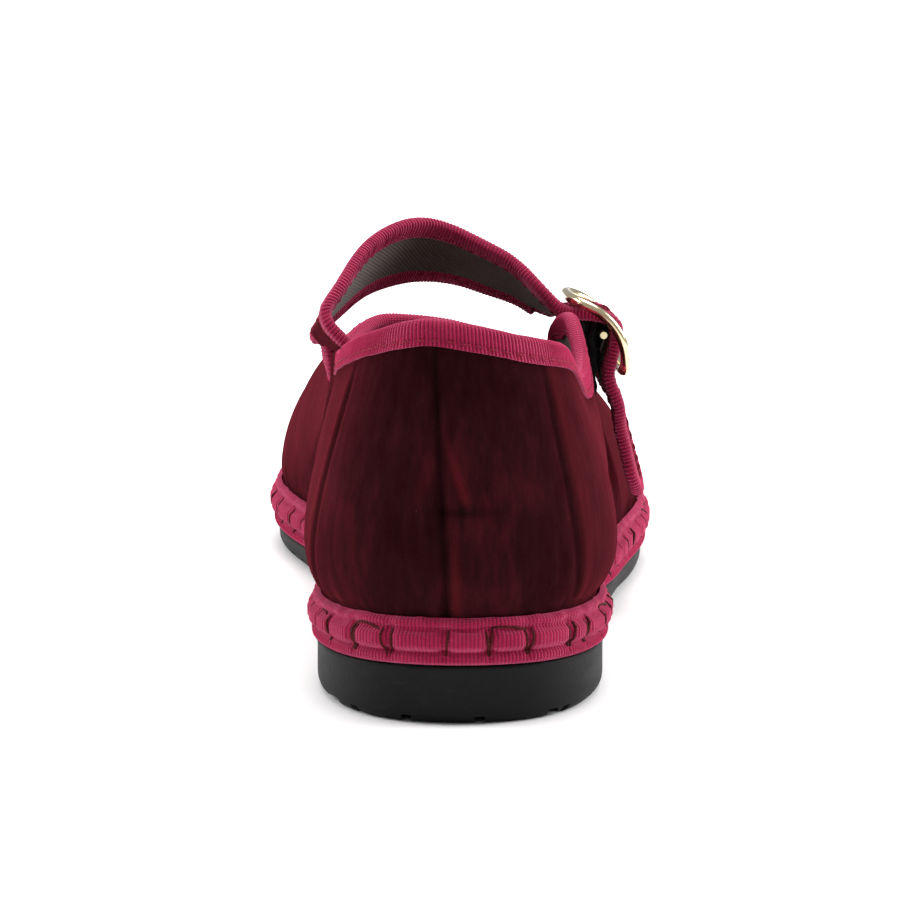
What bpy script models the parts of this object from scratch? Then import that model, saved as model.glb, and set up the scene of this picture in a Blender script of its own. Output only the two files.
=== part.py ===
"""Mary jane flat for the right foot.

Velvet upper with taped edges, hand-sewn band, rubber sole and buckled instep strap.
Metres, +Z up. The toe points along +Y and the outer side of the foot is +X.
"""

import math
from collections import namedtuple

import bmesh
import bpy
import numpy as np
from mathutils import Vector

# Main sizes of the shoe
SHOE_LENGTH = 0.250
BALL_WIDTH = 0.0825
HEEL_WIDTH = 0.0596
COLLAR_HEIGHT = 0.0850
THROAT_HEIGHT = 0.0575

# Rubber outsole
HEEL_THICKNESS = 0.0126
FOREFOOT_THICKNESS = 0.0050
TOE_SPRING = 0.0062
ARCH_RISE = 0.0016
SOLE_EDGE_INSET = 0.0026
SOLE_EDGE_RISE = 0.0027
TREAD_PITCH = 0.0154
TREAD_WIDTH = 0.0022
TREAD_DEPTH = 0.0012
TREAD_SHIFT = 0.0041

# Stitched band between sole and upper
BAND_HEIGHT = 0.0100
BAND_INSET = 0.0005
BAND_SWELL = 0.0018

# Upper, insole and edge tape
WALL = 0.0022
INSOLE_THICKNESS = 0.0040
TAPE_WIDTH = 0.0060
TAPE_THICKNESS = 0.0032
SKIRT_MARGIN = 0.0004

# Instep strap
STRAP_WIDTH = 0.0195
STRAP_ROOT_WIDTH = 0.0245
STRAP_THICKNESS = 0.0022
STRAP_TAPE_WIDTH = 0.0044
STRAP_TAPE_THICKNESS = 0.0030
STRAP_HEIGHT = 0.0795
STRAP_ROOT_SEAM = 0.0020
STRAP_ROOT_MIDDLE = 0.370

# Buckle and its elastic
BUCKLE_LENGTH = 0.0228
BUCKLE_REACH = 0.0276
BUCKLE_WIRE = 0.0026
BUCKLE_BOW = 0.0040
BUCKLE_SLOPE = math.radians(54.5)
BUCKLE_TILT = math.radians(11.5)
BAR_DIAMETER = 0.0016
BAR_DEPTH = 0.0010
ELASTIC_WIDTH = 0.0095
ELASTIC_THICKNESS = 0.0009
ELASTIC_DROP = 0.0150
ELASTIC_LEAN = 0.0006
ELASTIC_TWIST = -6

# Clearance between pieces that touch on the real shoe
GAP = 0.0003

# Where along the length the wedge ends, the toe starts to lift and the arch lies
WEDGE_END = 0.64
SPRING_START = 0.76
ARCH_SPAN = (0.30, 0.60)

# Mesh fineness
STATIONS_PER_SIDE = 36
WALL_ROWS = 10
STRAP_STEPS = 58
STRAP_BEND_SHARE = 0.008

# One row for each section round the shoe, from the back seam along the outer side to the toe and back.
# along, heel, ball: foot of the section, as shares of the length and of half of each width.
# top_along, top_side, collar, throat: its upper edge, as shares of length, half ball width and heights.
# low_out, low_up, high_out, high_down: fullness above the band and below the edge.
Section = namedtuple(
    "Section",
    "along heel ball top_along top_side collar throat low_out low_up high_out high_down",
)
SECTIONS = (
    Section(0.000, 0.00, 0.000, 0.034, -0.08, 1.000, 0.00, 0.13, 0.18, 0.018, 0.26),
    Section(0.022, 0.58, 0.000, 0.050, 0.305, 0.955, 0.00, 0.16, 0.17, 0.021, 0.25),
    Section(0.125, 1.00, 0.000, 0.135, 0.545, 0.877, 0.00, 0.23, 0.11, 0.020, 0.22),
    Section(0.250, 0.99, 0.000, 0.250, 0.620, 0.745, 0.00, 0.22, 0.11, 0.020, 0.18),
    Section(0.335, 0.74, 0.175, 0.338, 0.650, 0.762, 0.00, 0.17, 0.15, 0.020, 0.23),
    Section(0.385, 0.52, 0.370, 0.390, 0.605, 0.820, 0.00, 0.11, 0.14, 0.018, 0.26),
    Section(0.430, 0.38, 0.530, 0.440, 0.545, 0.785, 0.00, 0.07, 0.12, 0.024, 0.20),
    Section(0.490, 0.25, 0.680, 0.512, 0.506, 0.000, 1.02, 0.05, 0.11, 0.030, 0.10),
    Section(0.645, 0.00, 0.995, 0.577, 0.480, 0.000, 0.935, 0.04, 0.11, 0.044, 0.08),
    Section(0.800, 0.00, 0.905, 0.615, 0.300, 0.000, 0.925, 0.06, 0.11, 0.100, 0.13),
    Section(0.920, 0.00, 0.580, 0.636, 0.060, 0.000, 0.965, 0.07, 0.11, 0.150, 0.18),
    Section(1.000, 0.00, -0.12, 0.643, -0.17, 0.000, 0.995, 0.07, 0.105, 0.180, 0.20),
    Section(0.935, 0.00, -0.66, 0.638, -0.315, 0.000, 1.008, 0.07, 0.11, 0.150, 0.17),
    Section(0.820, 0.00, -0.955, 0.616, -0.47, 0.000, 1.010, 0.07, 0.12, 0.095, 0.10),
    Section(0.715, 0.00, -1.00, 0.552, -0.600, 0.000, 0.980, 0.05, 0.12, 0.040, 0.08),
    Section(0.610, 0.00, -0.845, 0.452, -0.680, 0.000, 0.99, 0.10, 0.14, 0.010, 0.14),
    Section(0.470, -0.45, -0.36, 0.368, -0.675, 0.735, 0.00, 0.18, 0.15, -0.004, 0.20),
    Section(0.270, -0.955, 0.00, 0.264, -0.615, 0.800, 0.00, 0.21, 0.11, 0.016, 0.20),
    Section(0.125, -1.00, 0.00, 0.135, -0.545, 0.900, 0.00, 0.22, 0.11, 0.018, 0.22),
    Section(0.022, -0.58, 0.00, 0.050, -0.315, 0.985, 0.00, 0.16, 0.17, 0.021, 0.25),
)

# Outer face of the band, from the sole upwards: swell (share of BAND_SWELL), height (share of BAND_HEIGHT)
BandStep = namedtuple("BandStep", "swell height")
BAND_FACE = (
    BandStep(0.20, 0.00),
    BandStep(0.50, 0.06),
    BandStep(0.55, 0.21),
    BandStep(0.38, 0.27),
    BandStep(0.95, 0.42),
    BandStep(1.00, 0.60),
    BandStep(0.55, 0.78),
    BandStep(0.58, 0.90),
    BandStep(0.25, 1.00),
)

# Middle of the strap from its root up over the instep, before it reaches the buckle.
# side: share of half ball width. along: share of length. height: share of STRAP_HEIGHT.
# tilt: degrees that its width leans down towards the toe. turn: sideways lean of its width.
StrapPoint = namedtuple("StrapPoint", "side along height tilt turn")
STRAP_RUN = (
    StrapPoint(-0.728, 0.3740, 0.850, 20, -0.12),
    StrapPoint(-0.680, 0.3900, 0.902, 27, -0.10),
    StrapPoint(-0.595, 0.4140, 0.945, 34, -0.06),
    StrapPoint(-0.505, 0.4390, 0.976, 40, -0.03),
    StrapPoint(-0.375, 0.4640, 0.998, 46, 0.00),
    StrapPoint(-0.190, 0.4880, 0.996, 49, 0.00),
    StrapPoint(0.000, 0.4950, 0.973, 46, 0.00),
    StrapPoint(0.180, 0.4900, 0.932, 38, 0.00),
    StrapPoint(0.330, 0.4820, 0.892, 27, 0.00),
)
# Through the buckle: slide along it (share of BUCKLE_LENGTH) and lift off its plane (share of its bow)
BucklePass = namedtuple("BucklePass", "slide lift")
BUCKLE_RUN = (
    BucklePass(-0.590, -1.56),
    BucklePass(-0.440, -1.18),
    BucklePass(-0.200, 0.45),
    BucklePass(0.000, 1.14),
    BucklePass(0.210, 0.20),
    BucklePass(0.430, -0.96),
    BucklePass(0.560, -0.96),
)
# Free end below the buckle, down the outer side
TAIL_RUN = (
    StrapPoint(0.838, 0.478, 0.560, 6, 0.00),
    StrapPoint(0.868, 0.480, 0.470, 3, 0.02),
    StrapPoint(0.918, 0.482, 0.390, 1, 0.04),
    StrapPoint(0.985, 0.484, 0.310, 0, 0.06),
)
BUCKLE_MIDDLE = StrapPoint(0.722, 0.477, 0.784, 0, 0)


def clear_scene():
    """Empty the scene."""
    for item in list(bpy.data.objects):
        bpy.data.objects.remove(item, do_unlink=True)


def spline(knots, values, closed):
    """Smooth curve through rows of values, as a function of a position between the knots."""
    knots = np.asarray(knots, float)
    values = np.asarray(values, float)
    count = len(values)
    steps = np.diff(knots)
    system = np.eye(count)
    target = np.zeros_like(values)
    for i in range(count) if closed else range(1, count - 1):
        before = steps[i - 1]
        after = steps[i]
        prior = (i - 1) % count
        follow = (i + 1) % count
        system[i] = 0
        system[i, prior] += before
        system[i, i] += 2 * (before + after)
        system[i, follow] += after
        rise = (values[follow] - values[i]) / after
        target[i] = 6 * (rise - (values[i] - values[prior]) / before)
    bends = np.linalg.solve(system, target)

    def at(places):
        places = np.atleast_1d(np.asarray(places, float))
        if closed:
            places = np.mod(places - knots[0], knots[-1] - knots[0]) + knots[0]
        spot = np.clip(np.searchsorted(knots, places, side="right") - 1, 0, len(steps) - 1)
        step = steps[spot][:, None]
        share = ((places - knots[spot])[:, None]) / step
        rest = 1 - share
        nxt = (spot + 1) % count
        bend = (rest**3 - rest) * bends[spot] + (share**3 - share) * bends[nxt]
        return rest * values[spot] + share * values[nxt] + bend * step**2 / 6

    return at


def chord_knots(points, closed):
    """Knots spaced by the distance between neighbouring points."""
    points = np.asarray(points, float)
    if closed:
        points = np.vstack([points, points[:1]])
    lengths = np.linalg.norm(np.diff(points, axis=0), axis=1)
    return np.concatenate([[0.0], np.cumsum(lengths)])


def unit(vectors):
    """Rows scaled to length one."""
    return vectors / np.linalg.norm(vectors, axis=-1, keepdims=True)


def sole_bottom(along):
    """Height of the tread above the floor: flat heel, low arch, flat ball, lifted toe."""
    start, end = ARCH_SPAN
    arch = np.sin(math.pi * np.clip((along - start) / (end - start), 0, 1)) ** 2
    lift = np.clip((along - SPRING_START) / (1 - SPRING_START), 0, None) ** 2
    return ARCH_RISE * arch + TOE_SPRING * lift


def sole_top(along):
    """Height of the sole's upper face: a wedge from the heel to the ball, then the toe lift."""
    wedge = np.clip(1 - along / WEDGE_END, 0, 1) ** 1.1
    lift = np.clip((along - SPRING_START) / (1 - SPRING_START), 0, None) ** 2
    return FOREFOOT_THICKNESS + (HEEL_THICKNESS - FOREFOOT_THICKNESS) * wedge + TOE_SPRING * lift


def plan_points(rows):
    """Outline points in plan for rows of section values."""
    side = rows[:, 1] * HEEL_WIDTH / 2 + rows[:, 2] * BALL_WIDTH / 2
    return np.column_stack([side, rows[:, 0] * SHOE_LENGTH])


def section_columns():
    """Section values at every column round the shoe, in pairs that share a station."""
    rows = np.array(SECTIONS, float)
    knots = chord_knots(plan_points(rows), True)
    curve = spline(knots, rows, True)
    dense = np.linspace(0, knots[-1], 4001)
    along = curve(dense)[:, 0]
    toe = int(np.argmax(along))
    heel_end, toe_end = along[0], along[toe]
    turn = np.linspace(0, math.pi, STATIONS_PER_SIDE + 1)
    stations = heel_end + (toe_end - heel_end) * (1 - np.cos(turn)) / 2
    outer = np.interp(stations, along[: toe + 1], dense[: toe + 1])
    inner = np.interp(stations[-2:0:-1], along[:toe - 1:-1], dense[:toe - 1:-1])
    return curve(np.concatenate([outer, inner]))


def outward(ring):
    """Outward plan direction at each point of a ring that runs anticlockwise."""
    along = np.roll(ring, -1, axis=0) - np.roll(ring, 1, axis=0)
    return unit(np.column_stack([along[:, 1], -along[:, 0]]))


class Last:
    """The shoe's form: its outline and the ribs of the upper, all from the section table."""

    def __init__(self):
        self.rows = section_columns()
        self.plan = plan_points(self.rows)
        self.normal = outward(self.plan)
        self.along = self.plan[:, 1] / SHOE_LENGTH
        self.seat = sole_top(self.along)

    def ring(self, offset, height):
        """A ring at a distance outside the outline."""
        plan = self.plan + self.normal * offset
        return np.column_stack([plan, np.broadcast_to(height, len(plan))])

    def strap_root(self):
        """Middle of the wall under the strap's root, just above it, and the direction of its edge."""
        ribs = self.ribs()
        ends = []
        for side in (-0.5, 0.5):
            along = STRAP_ROOT_MIDDLE * SHOE_LENGTH + side * STRAP_ROOT_WIDTH
            inner = [rib for rib in ribs if rib[-1, 0] < 0]
            inner.sort(key=lambda rib: rib[-1, 1])
            tops = np.array([rib[-1] for rib in inner])
            ends.append([np.interp(along, tops[:, 1], tops[:, axis]) for axis in range(3)])
        ends = np.array(ends)
        middle = ends.mean(axis=0) + np.array([WALL / 2, 0.0, STRAP_ROOT_SEAM])
        return middle, unit(ends[1] - ends[0])

    def ribs(self, samples=48):
        """Curves from the band's top to the upper's edge, as an array of column, sample, xyz."""
        rows = self.rows
        foot = self.ring(-BAND_INSET - GAP, self.seat + BAND_HEIGHT + 2 * GAP + SKIRT_MARGIN)
        height = rows[:, 5] * COLLAR_HEIGHT + rows[:, 6] * THROAT_HEIGHT
        top = np.column_stack([rows[:, 4] * BALL_WIDTH / 2, rows[:, 3] * SHOE_LENGTH, height])
        lean = unit(foot[:, :2] - top[:, :2] + self.normal * BAND_HEIGHT)
        low = foot.copy()
        low[:, :2] += self.normal * (rows[:, 7] * BALL_WIDTH / 2)[:, None]
        low[:, 2] += rows[:, 8] * COLLAR_HEIGHT
        high = top.copy()
        high[:, :2] += lean * (rows[:, 9] * SHOE_LENGTH)[:, None]
        high[:, 2] -= rows[:, 10] * COLLAR_HEIGHT
        t = np.linspace(0, 1, samples)[None, :, None]
        parts = [point[:, None, :] for point in (foot, low, high, top)]
        weights = ((1 - t) ** 3, 3 * t * (1 - t) ** 2, 3 * t**2 * (1 - t), t**3)
        return sum(weight * part for weight, part in zip(weights, parts))


def rib_at(rib, from_top):
    """Points of one rib at distances below its top edge."""
    lengths = np.concatenate([[0.0], np.cumsum(np.linalg.norm(np.diff(rib, axis=0), axis=1))])
    places = lengths[-1] - np.asarray(from_top)
    return np.column_stack([np.interp(places, lengths, rib[:, axis]) for axis in range(3)])


def rib_length(rib):
    """Length of one rib."""
    return float(np.linalg.norm(np.diff(rib, axis=0), axis=1).sum())


def new_material(name, colour, roughness, metallic=0.0):
    """A plain surface in the colour of the real one."""
    material = bpy.data.materials.new(name)
    material.use_nodes = True
    shader = material.node_tree.nodes["Principled BSDF"]
    shader.inputs["Base Color"].default_value = (*colour, 1.0)
    shader.inputs["Roughness"].default_value = roughness
    shader.inputs["Metallic"].default_value = metallic
    material.diffuse_color = (*colour, 1.0)
    return material


def new_object(name, bm, material, smooth=True):
    """Turn a bmesh into a named object with its material."""
    mesh = bpy.data.meshes.new(name)
    bm.to_mesh(mesh)
    bm.free()
    mesh.materials.append(material)
    if smooth:
        mesh.shade_smooth()
        mesh.set_sharp_from_angle(angle=math.radians(40))
    item = bpy.data.objects.new(name, mesh)
    bpy.context.scene.collection.objects.link(item)
    return item


def start_loop(bm, points, closed):
    """Vertices joined by edges along a row of points."""
    verts = [bm.verts.new(Vector(point)) for point in points]
    pairs = list(zip(verts, verts[1:]))
    if closed:
        pairs.append((verts[-1], verts[0]))
    edges = [bm.edges.new(pair) for pair in pairs]
    return verts, edges


def loft(bm, rings, closed=True):
    """Extrude a loop from ring to ring, and return the first and the last loop."""
    verts, edges = start_loop(bm, rings[0], closed)
    first = (verts, edges)
    for ring in rings[1:]:
        made = bmesh.ops.extrude_edge_only(bm, edges=edges)["geom"]
        fresh = {item for item in made if isinstance(item, bmesh.types.BMVert)}
        pulled = []
        for vert, point in zip(verts, ring):
            upper = next(e.other_vert(vert) for e in vert.link_edges if e.other_vert(vert) in fresh)
            upper.co = Vector(point)
            pulled.append(upper)
        verts = pulled
        edges = [item for item in made if isinstance(item, bmesh.types.BMEdge)
                 and item.verts[0] in fresh and item.verts[1] in fresh]
    return first, (verts, edges)


def ladder_cap(bm, loop):
    """Close a loop of paired columns with strips that run from side to side."""
    verts, edges = loop
    bmesh.ops.contextual_create(bm, geom=edges)
    count = len(verts)
    for i in range(1, count // 2):
        bmesh.ops.connect_verts(bm, verts=[verts[i], verts[count - i]])


def end_cap(bm, loop):
    """Close a small loop with one face."""
    bmesh.ops.contextual_create(bm, geom=loop[1])


def face_out(bm):
    """Turn the faces of a closed body outwards."""
    bmesh.ops.recalc_face_normals(bm, faces=bm.faces)


def slab(name, rings, material):
    """A closed solid lofted through rings of paired columns."""
    bm = bmesh.new()
    bottom, top = loft(bm, rings)
    ladder_cap(bm, bottom)
    ladder_cap(bm, top)
    face_out(bm)
    return new_object(name, bm, material)


def hoop(name, rings, material):
    """A closed ring whose section is a closed run of rings."""
    bm = bmesh.new()
    first, last = loft(bm, rings)
    bmesh.ops.bridge_loops(bm, edges=first[1] + last[1])
    face_out(bm)
    return new_object(name, bm, material)


def rod(name, rings, material):
    """A closed solid lofted through small section loops."""
    bm = bmesh.new()
    first, last = loft(bm, rings)
    end_cap(bm, first)
    end_cap(bm, last)
    face_out(bm)
    return new_object(name, bm, material)


def shell(name, rows, material, thickness, proud, closed):
    """A sheet through rows of points that Solidify turns into a wall."""
    bm = bmesh.new()
    loft(bm, rows, closed)
    middle = sum((vert.co for vert in bm.verts), Vector()) / len(bm.verts)
    bm.normal_update()
    facing = sum(face.normal.dot(face.calc_center_median() - middle) for face in bm.faces)
    if facing < 0:
        bmesh.ops.reverse_faces(bm, faces=bm.faces)
    item = new_object(name, bm, material)
    wall = item.modifiers.new("wall", "SOLIDIFY")
    wall.thickness = thickness
    wall.offset = -1 + 2 * proud / thickness
    wall.use_even_offset = True
    return item


def make_outsole(last, material):
    """Rubber sole with a rounded lower edge and a cut tread."""
    low = sole_bottom(last.along)
    rings = [
        last.ring(-SOLE_EDGE_INSET, low),
        last.ring(-SOLE_EDGE_INSET * 0.35, low + SOLE_EDGE_RISE * 0.36),
        last.ring(0.0, low + SOLE_EDGE_RISE),
        last.ring(0.0, last.seat - GAP),
        last.ring(-GAP, last.seat),
    ]
    sole = slab("outsole", rings, material)
    reach = SHOE_LENGTH * 1.1
    span = BALL_WIDTH * 1.2
    lanes = [TREAD_SHIFT + TREAD_PITCH * step for step in (-2, -1, 0, 1, 2)]
    cut_tread(sole, "tread_lanes", [((x, reach / 2), (TREAD_WIDTH, reach)) for x in lanes])
    steps = int(SHOE_LENGTH / TREAD_PITCH)
    places = [TREAD_PITCH * (step + 0.75) for step in range(steps)]
    places = [y for y in places if not ARCH_SPAN[0] < y / SHOE_LENGTH < ARCH_SPAN[1]]
    cut_tread(sole, "tread_crossings", [((0.0, y), (span, TREAD_WIDTH)) for y in places])
    return sole


def cut_tread(sole, name, grooves):
    """Cut straight grooves into the underside."""
    bm = bmesh.new()
    for (x, y), (width, length) in grooves:
        made = bmesh.ops.create_cube(bm, size=1.0)["verts"]
        bmesh.ops.scale(bm, vec=(width, length, 2 * TREAD_DEPTH), verts=made)
        bmesh.ops.translate(bm, vec=(x, y, 0.0), verts=made)
    cutter = new_object(name, bm, sole.data.materials[0], smooth=False)
    cutter.hide_render = True
    cutter.display_type = "WIRE"
    cut = sole.modifiers.new(name, "BOOLEAN")
    cut.operation = "DIFFERENCE"
    cut.solver = "EXACT"
    cut.object = cutter


def make_band(last, material):
    """Taped band that joins sole and upper, with its folded lips and swollen middle."""
    base = last.seat + GAP
    rings = [last.ring(-BAND_INSET, base)]
    for step in BAND_FACE:
        rings.append(last.ring(BAND_SWELL * step.swell, base + BAND_HEIGHT * step.height))
    rings.append(last.ring(-BAND_INSET, base + BAND_HEIGHT))
    return hoop("foxing_band", rings, material)


def make_insole(last, material):
    """Footbed inside the upper's lower edge."""
    inset = BAND_INSET + GAP + WALL + 2 * GAP
    base = last.seat + GAP
    rings = [
        last.ring(-inset, base),
        last.ring(-inset, base + INSOLE_THICKNESS * 0.8),
        last.ring(-inset - INSOLE_THICKNESS * 0.2, base + INSOLE_THICKNESS),
    ]
    return slab("insole", rings, material)


def inside_root(row):
    """Whether a column ends under the strap's root instead of in edge tape."""
    half = STRAP_ROOT_WIDTH / 2 / SHOE_LENGTH
    return row[4] < 0 and abs(row[3] - STRAP_ROOT_MIDDLE) < half


def make_upper(last, material):
    """Hollow velvet wall from the sole to the seam with the edge tape."""
    ribs = last.ribs()
    skirt = last.ring(-BAND_INSET - GAP, last.seat + GAP)
    columns = []
    for row, rib in zip(last.rows, ribs):
        edge = 0.0 if inside_root(row) else TAPE_WIDTH + 2 * GAP
        columns.append(rib_at(rib, np.linspace(rib_length(rib), edge, WALL_ROWS + 1)))
    columns = np.array(columns)
    rows = [skirt] + [columns[:, i] for i in range(WALL_ROWS + 1)]
    return shell("upper", rows, material, WALL, 0.0, True)


def make_tape(name, last, picks, material):
    """Folded tape along a stretch of the upper's edge."""
    ribs = last.ribs()[picks]
    spans = (TAPE_WIDTH, TAPE_WIDTH * 0.5, 0.0)
    columns = np.array([rib_at(rib, spans) for rib in ribs])
    rows = [columns[:, i] for i in range(len(spans))]
    proud = (TAPE_THICKNESS - WALL) / 2
    tape = shell(name, rows, material, TAPE_THICKNESS, proud, False)
    round_edges(tape, TAPE_THICKNESS * 0.28)
    return tape


def round_edges(item, width):
    """Soften the hard edges of a wall."""
    bevel = item.modifiers.new("soft_edge", "BEVEL")
    bevel.width = width
    bevel.segments = 1
    bevel.limit_method = "ANGLE"
    bevel.angle_limit = math.radians(60)


def make_tapes(last, material):
    """Collar tape behind the strap and throat tape in front of it, meeting at the outer peak."""
    count = len(last.rows)
    root = [i for i in range(count) if inside_root(last.rows[i])]
    side = [i for i in range(count // 2) if last.rows[i][0] < 0.6]
    peak = max(side, key=lambda i: last.rows[i][5] if 0.33 < last.rows[i][0] < 0.44 else 0)
    throat = list(range(peak, root[0]))
    collar = list(range(root[-1] + 1, count)) + list(range(0, peak))
    return [
        make_tape("throat_binding", last, throat, material),
        make_tape("collar_binding", last, collar, material),
    ]


def buckle_frame_axes():
    """Middle, slide direction, outward direction and reach direction of the buckle."""
    middle = np.array([
        BUCKLE_MIDDLE.side * BALL_WIDTH / 2,
        BUCKLE_MIDDLE.along * SHOE_LENGTH,
        BUCKLE_MIDDLE.height * STRAP_HEIGHT,
    ])
    slide = np.array([math.cos(BUCKLE_SLOPE), 0.0, -math.sin(BUCKLE_SLOPE)])
    reach = np.array([0.0, math.cos(BUCKLE_TILT), -math.sin(BUCKLE_TILT)])
    reach = unit(reach - slide * float(reach @ slide))
    out = np.cross(slide, reach)
    return middle, slide, out, reach


class Strap:
    """The strap's middle surface, from its root to its free end."""

    def __init__(self, last):
        middle, slide, out, reach = buckle_frame_axes()
        root, root_lean = last.strap_root()
        spots = [root] + [self.place(row) for row in STRAP_RUN]
        spreads = [root_lean] + [self.spread(row) for row in STRAP_RUN]
        for step in BUCKLE_RUN:
            offset = slide * step.slide * BUCKLE_LENGTH + out * step.lift * BUCKLE_BOW
            spots.append(middle + offset)
            spreads.append(reach)
        spots += [self.place(row) for row in TAIL_RUN]
        spreads += [self.spread(row) for row in TAIL_RUN]
        knots = chord_knots(spots, False)
        self.length = knots[-1]
        self.centre = spline(knots, spots, False)
        self.lean = spline(knots, spreads, False)

    @staticmethod
    def place(row):
        return np.array([
            row.side * BALL_WIDTH / 2, row.along * SHOE_LENGTH, row.height * STRAP_HEIGHT
        ])

    @staticmethod
    def spread(row):
        tilt = math.radians(row.tilt)
        return unit(np.array([row.turn, math.cos(tilt), -math.sin(tilt)]))

    def frame(self, along):
        """Middle point, width direction and outward direction at a distance from the root."""
        step = 0.0005
        spot = self.centre(along)[0]
        run = unit(self.centre(along + step)[0] - self.centre(along - step)[0])
        lean = self.lean(along)[0]
        lean = unit(lean - run * float(lean @ run))
        return spot, lean, np.cross(run, lean)

    def half_width(self, along):
        """Half of the width, which flares at the root."""
        flare = max(0.0, 1 - along / (STRAP_ROOT_WIDTH * 0.8)) ** 2
        return (STRAP_WIDTH + (STRAP_ROOT_WIDTH - STRAP_WIDTH) * flare) / 2

    def point(self, along, across, lift):
        """A point at a distance along, across and off the middle surface."""
        spot, lean, out = self.frame(along)
        return spot + lean * across + out * lift


def even_steps(strap, end):
    """Places along the strap up to a distance, closer together where it bends."""
    fine = np.linspace(0.0, end, STRAP_STEPS * 20)
    spots = strap.centre(fine)
    runs = unit(np.gradient(spots, axis=0))
    bends = np.linalg.norm(np.diff(runs, axis=0), axis=1)
    moves = np.linalg.norm(np.diff(spots, axis=0), axis=1)
    measure = np.concatenate([[0.0], np.cumsum(moves + bends * STRAP_BEND_SHARE)])
    return np.interp(np.linspace(0.0, measure[-1], STRAP_STEPS), measure, fine)


def strap_stations(strap, inset):
    """Places along the strap's body, closer together at its round end."""
    end = strap.length - inset
    radius = STRAP_WIDTH / 2 - inset
    body = even_steps(strap, end - radius)
    turn = np.linspace(0, math.pi / 2, 5)[1:]
    places = [(along, strap.half_width(along) - inset) for along in body]
    for angle in turn:
        width = max(radius * math.cos(angle), radius * 0.12)
        places.append((end - radius + radius * math.sin(angle), width))
    return places


def make_strap(strap, material):
    """Velvet strap with its lining, inside the tape on its edges."""
    half = STRAP_THICKNESS / 2
    rings = []
    for along, width in strap_stations(strap, STRAP_TAPE_WIDTH + GAP):
        corners = ((-width, -half), (width, -half), (width, half), (-width, half))
        rings.append([strap.point(along, across, lift) for across, lift in corners])
    return rod("strap", rings, material)


def make_strap_tape(strap, material):
    """Tape folded over the strap's edges, up one side, round the end and back."""
    inset = STRAP_TAPE_WIDTH / 2
    radius = STRAP_WIDTH / 2 - inset
    end = strap.length - radius - inset
    body = even_steps(strap, end)
    track = [(along, inset - strap.half_width(along), 0.0, -1.0) for along in body]
    for angle in np.linspace(0, math.pi, 9)[1:-1]:
        ahead, aside = math.sin(angle), -math.cos(angle)
        track.append((end + radius * ahead, radius * aside, ahead, aside))
    track += [(along, strap.half_width(along) - inset, 0.0, 1.0) for along in body[::-1]]
    half = STRAP_TAPE_THICKNESS / 2
    profile = ((-1.0, -0.9), (0.5, -1.0), (1.0, -0.5), (1.0, 0.5), (0.5, 1.0), (-1.0, 0.9))
    rings = []
    for along, across, ahead, aside in track:
        ring = []
        for out, lift in profile:
            shift = out * inset
            ring.append(strap.point(along + ahead * shift, across + aside * shift, lift * half))
        rings.append(ring)
    return rod("strap_binding", rings, material)


def section_loop(centre, first, second, radii, count):
    """An oval loop round a point, in the plane of two directions."""
    loop = []
    for step in range(count):
        angle = 2 * math.pi * step / count
        loop.append(centre + first * radii[0] * math.cos(angle) + second * radii[1] * math.sin(angle))
    return loop


def make_buckle(material):
    """Bowed oval frame and the bar that its elastic holds."""
    middle, slide, out, reach = buckle_frame_axes()
    long_half = (BUCKLE_REACH - BUCKLE_WIRE) / 2
    short_half = (BUCKLE_LENGTH - BUCKLE_WIRE) / 2
    count = 36
    spots = []
    for step in range(count):
        angle = 2 * math.pi * step / count
        across = math.copysign(abs(math.cos(angle)) ** 0.62, math.cos(angle)) * long_half
        down = math.copysign(abs(math.sin(angle)) ** 0.62, math.sin(angle)) * short_half
        bow = BUCKLE_BOW * (1 - (down / short_half) ** 2)
        spots.append(middle + reach * across + slide * down + out * bow)
    spots = np.array(spots)
    runs = unit(np.roll(spots, -1, axis=0) - np.roll(spots, 1, axis=0))
    loops = []
    for spot, run in zip(spots, runs):
        aside = unit(np.cross(run, out))
        above = np.cross(aside, run)
        loops.append(section_loop(spot, aside, above, (BUCKLE_WIRE / 2, BUCKLE_WIRE * 0.42), 8))
    frame = hoop("buckle_frame", loops, material)
    bar_half = long_half - BUCKLE_WIRE * 0.5 - GAP
    bar_spot = middle + out * BAR_DEPTH
    ends = [bar_spot + reach * side * bar_half for side in (-1, 1)]
    size = (BAR_DIAMETER / 2, BAR_DIAMETER / 2)
    bar = rod("buckle_bar", [section_loop(spot, slide, out, size, 10) for spot in ends], material)
    return frame, bar


def make_elastic(material):
    """Black elastic that loops round the bar and runs down on to the upper's outer side."""
    middle, slide, out, reach = buckle_frame_axes()
    bar = middle + out * BAR_DEPTH
    inner = BAR_DIAMETER / 2 + GAP
    wrap = inner + ELASTIC_THICKNESS / 2
    half = ELASTIC_THICKNESS / 2
    down = np.array([0.0, 0.0, -1.0])
    spots = []
    for angle in np.linspace(math.radians(60), math.radians(-150), 9):
        spots.append(bar + out * wrap * math.cos(angle) + slide * wrap * math.sin(angle))
    start = spots[-1]
    foot = start + down * ELASTIC_DROP + np.array([ELASTIC_LEAN, 0.0, 0.0])
    for share in (0.25, 0.5, 0.75, 1.0):
        spots.append(start + (foot - start) * share)
    spots = np.array(spots)
    runs = unit(np.gradient(spots, axis=0))
    turns = np.concatenate([np.zeros(9), np.radians(ELASTIC_TWIST) * np.array([0.25, 0.6, 0.9, 1.0])])
    rings = []
    for spot, run, turn in zip(spots, runs, turns):
        face = unit(np.cross(run, reach))
        side = reach * math.cos(turn) + face * math.sin(turn)
        wide = side * ELASTIC_WIDTH / 2
        thick = unit(np.cross(run, side)) * half
        rings.append([spot - wide - thick, spot + wide - thick, spot + wide + thick, spot - wide + thick])
    return rod("elastic_tab", rings, material)


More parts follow.
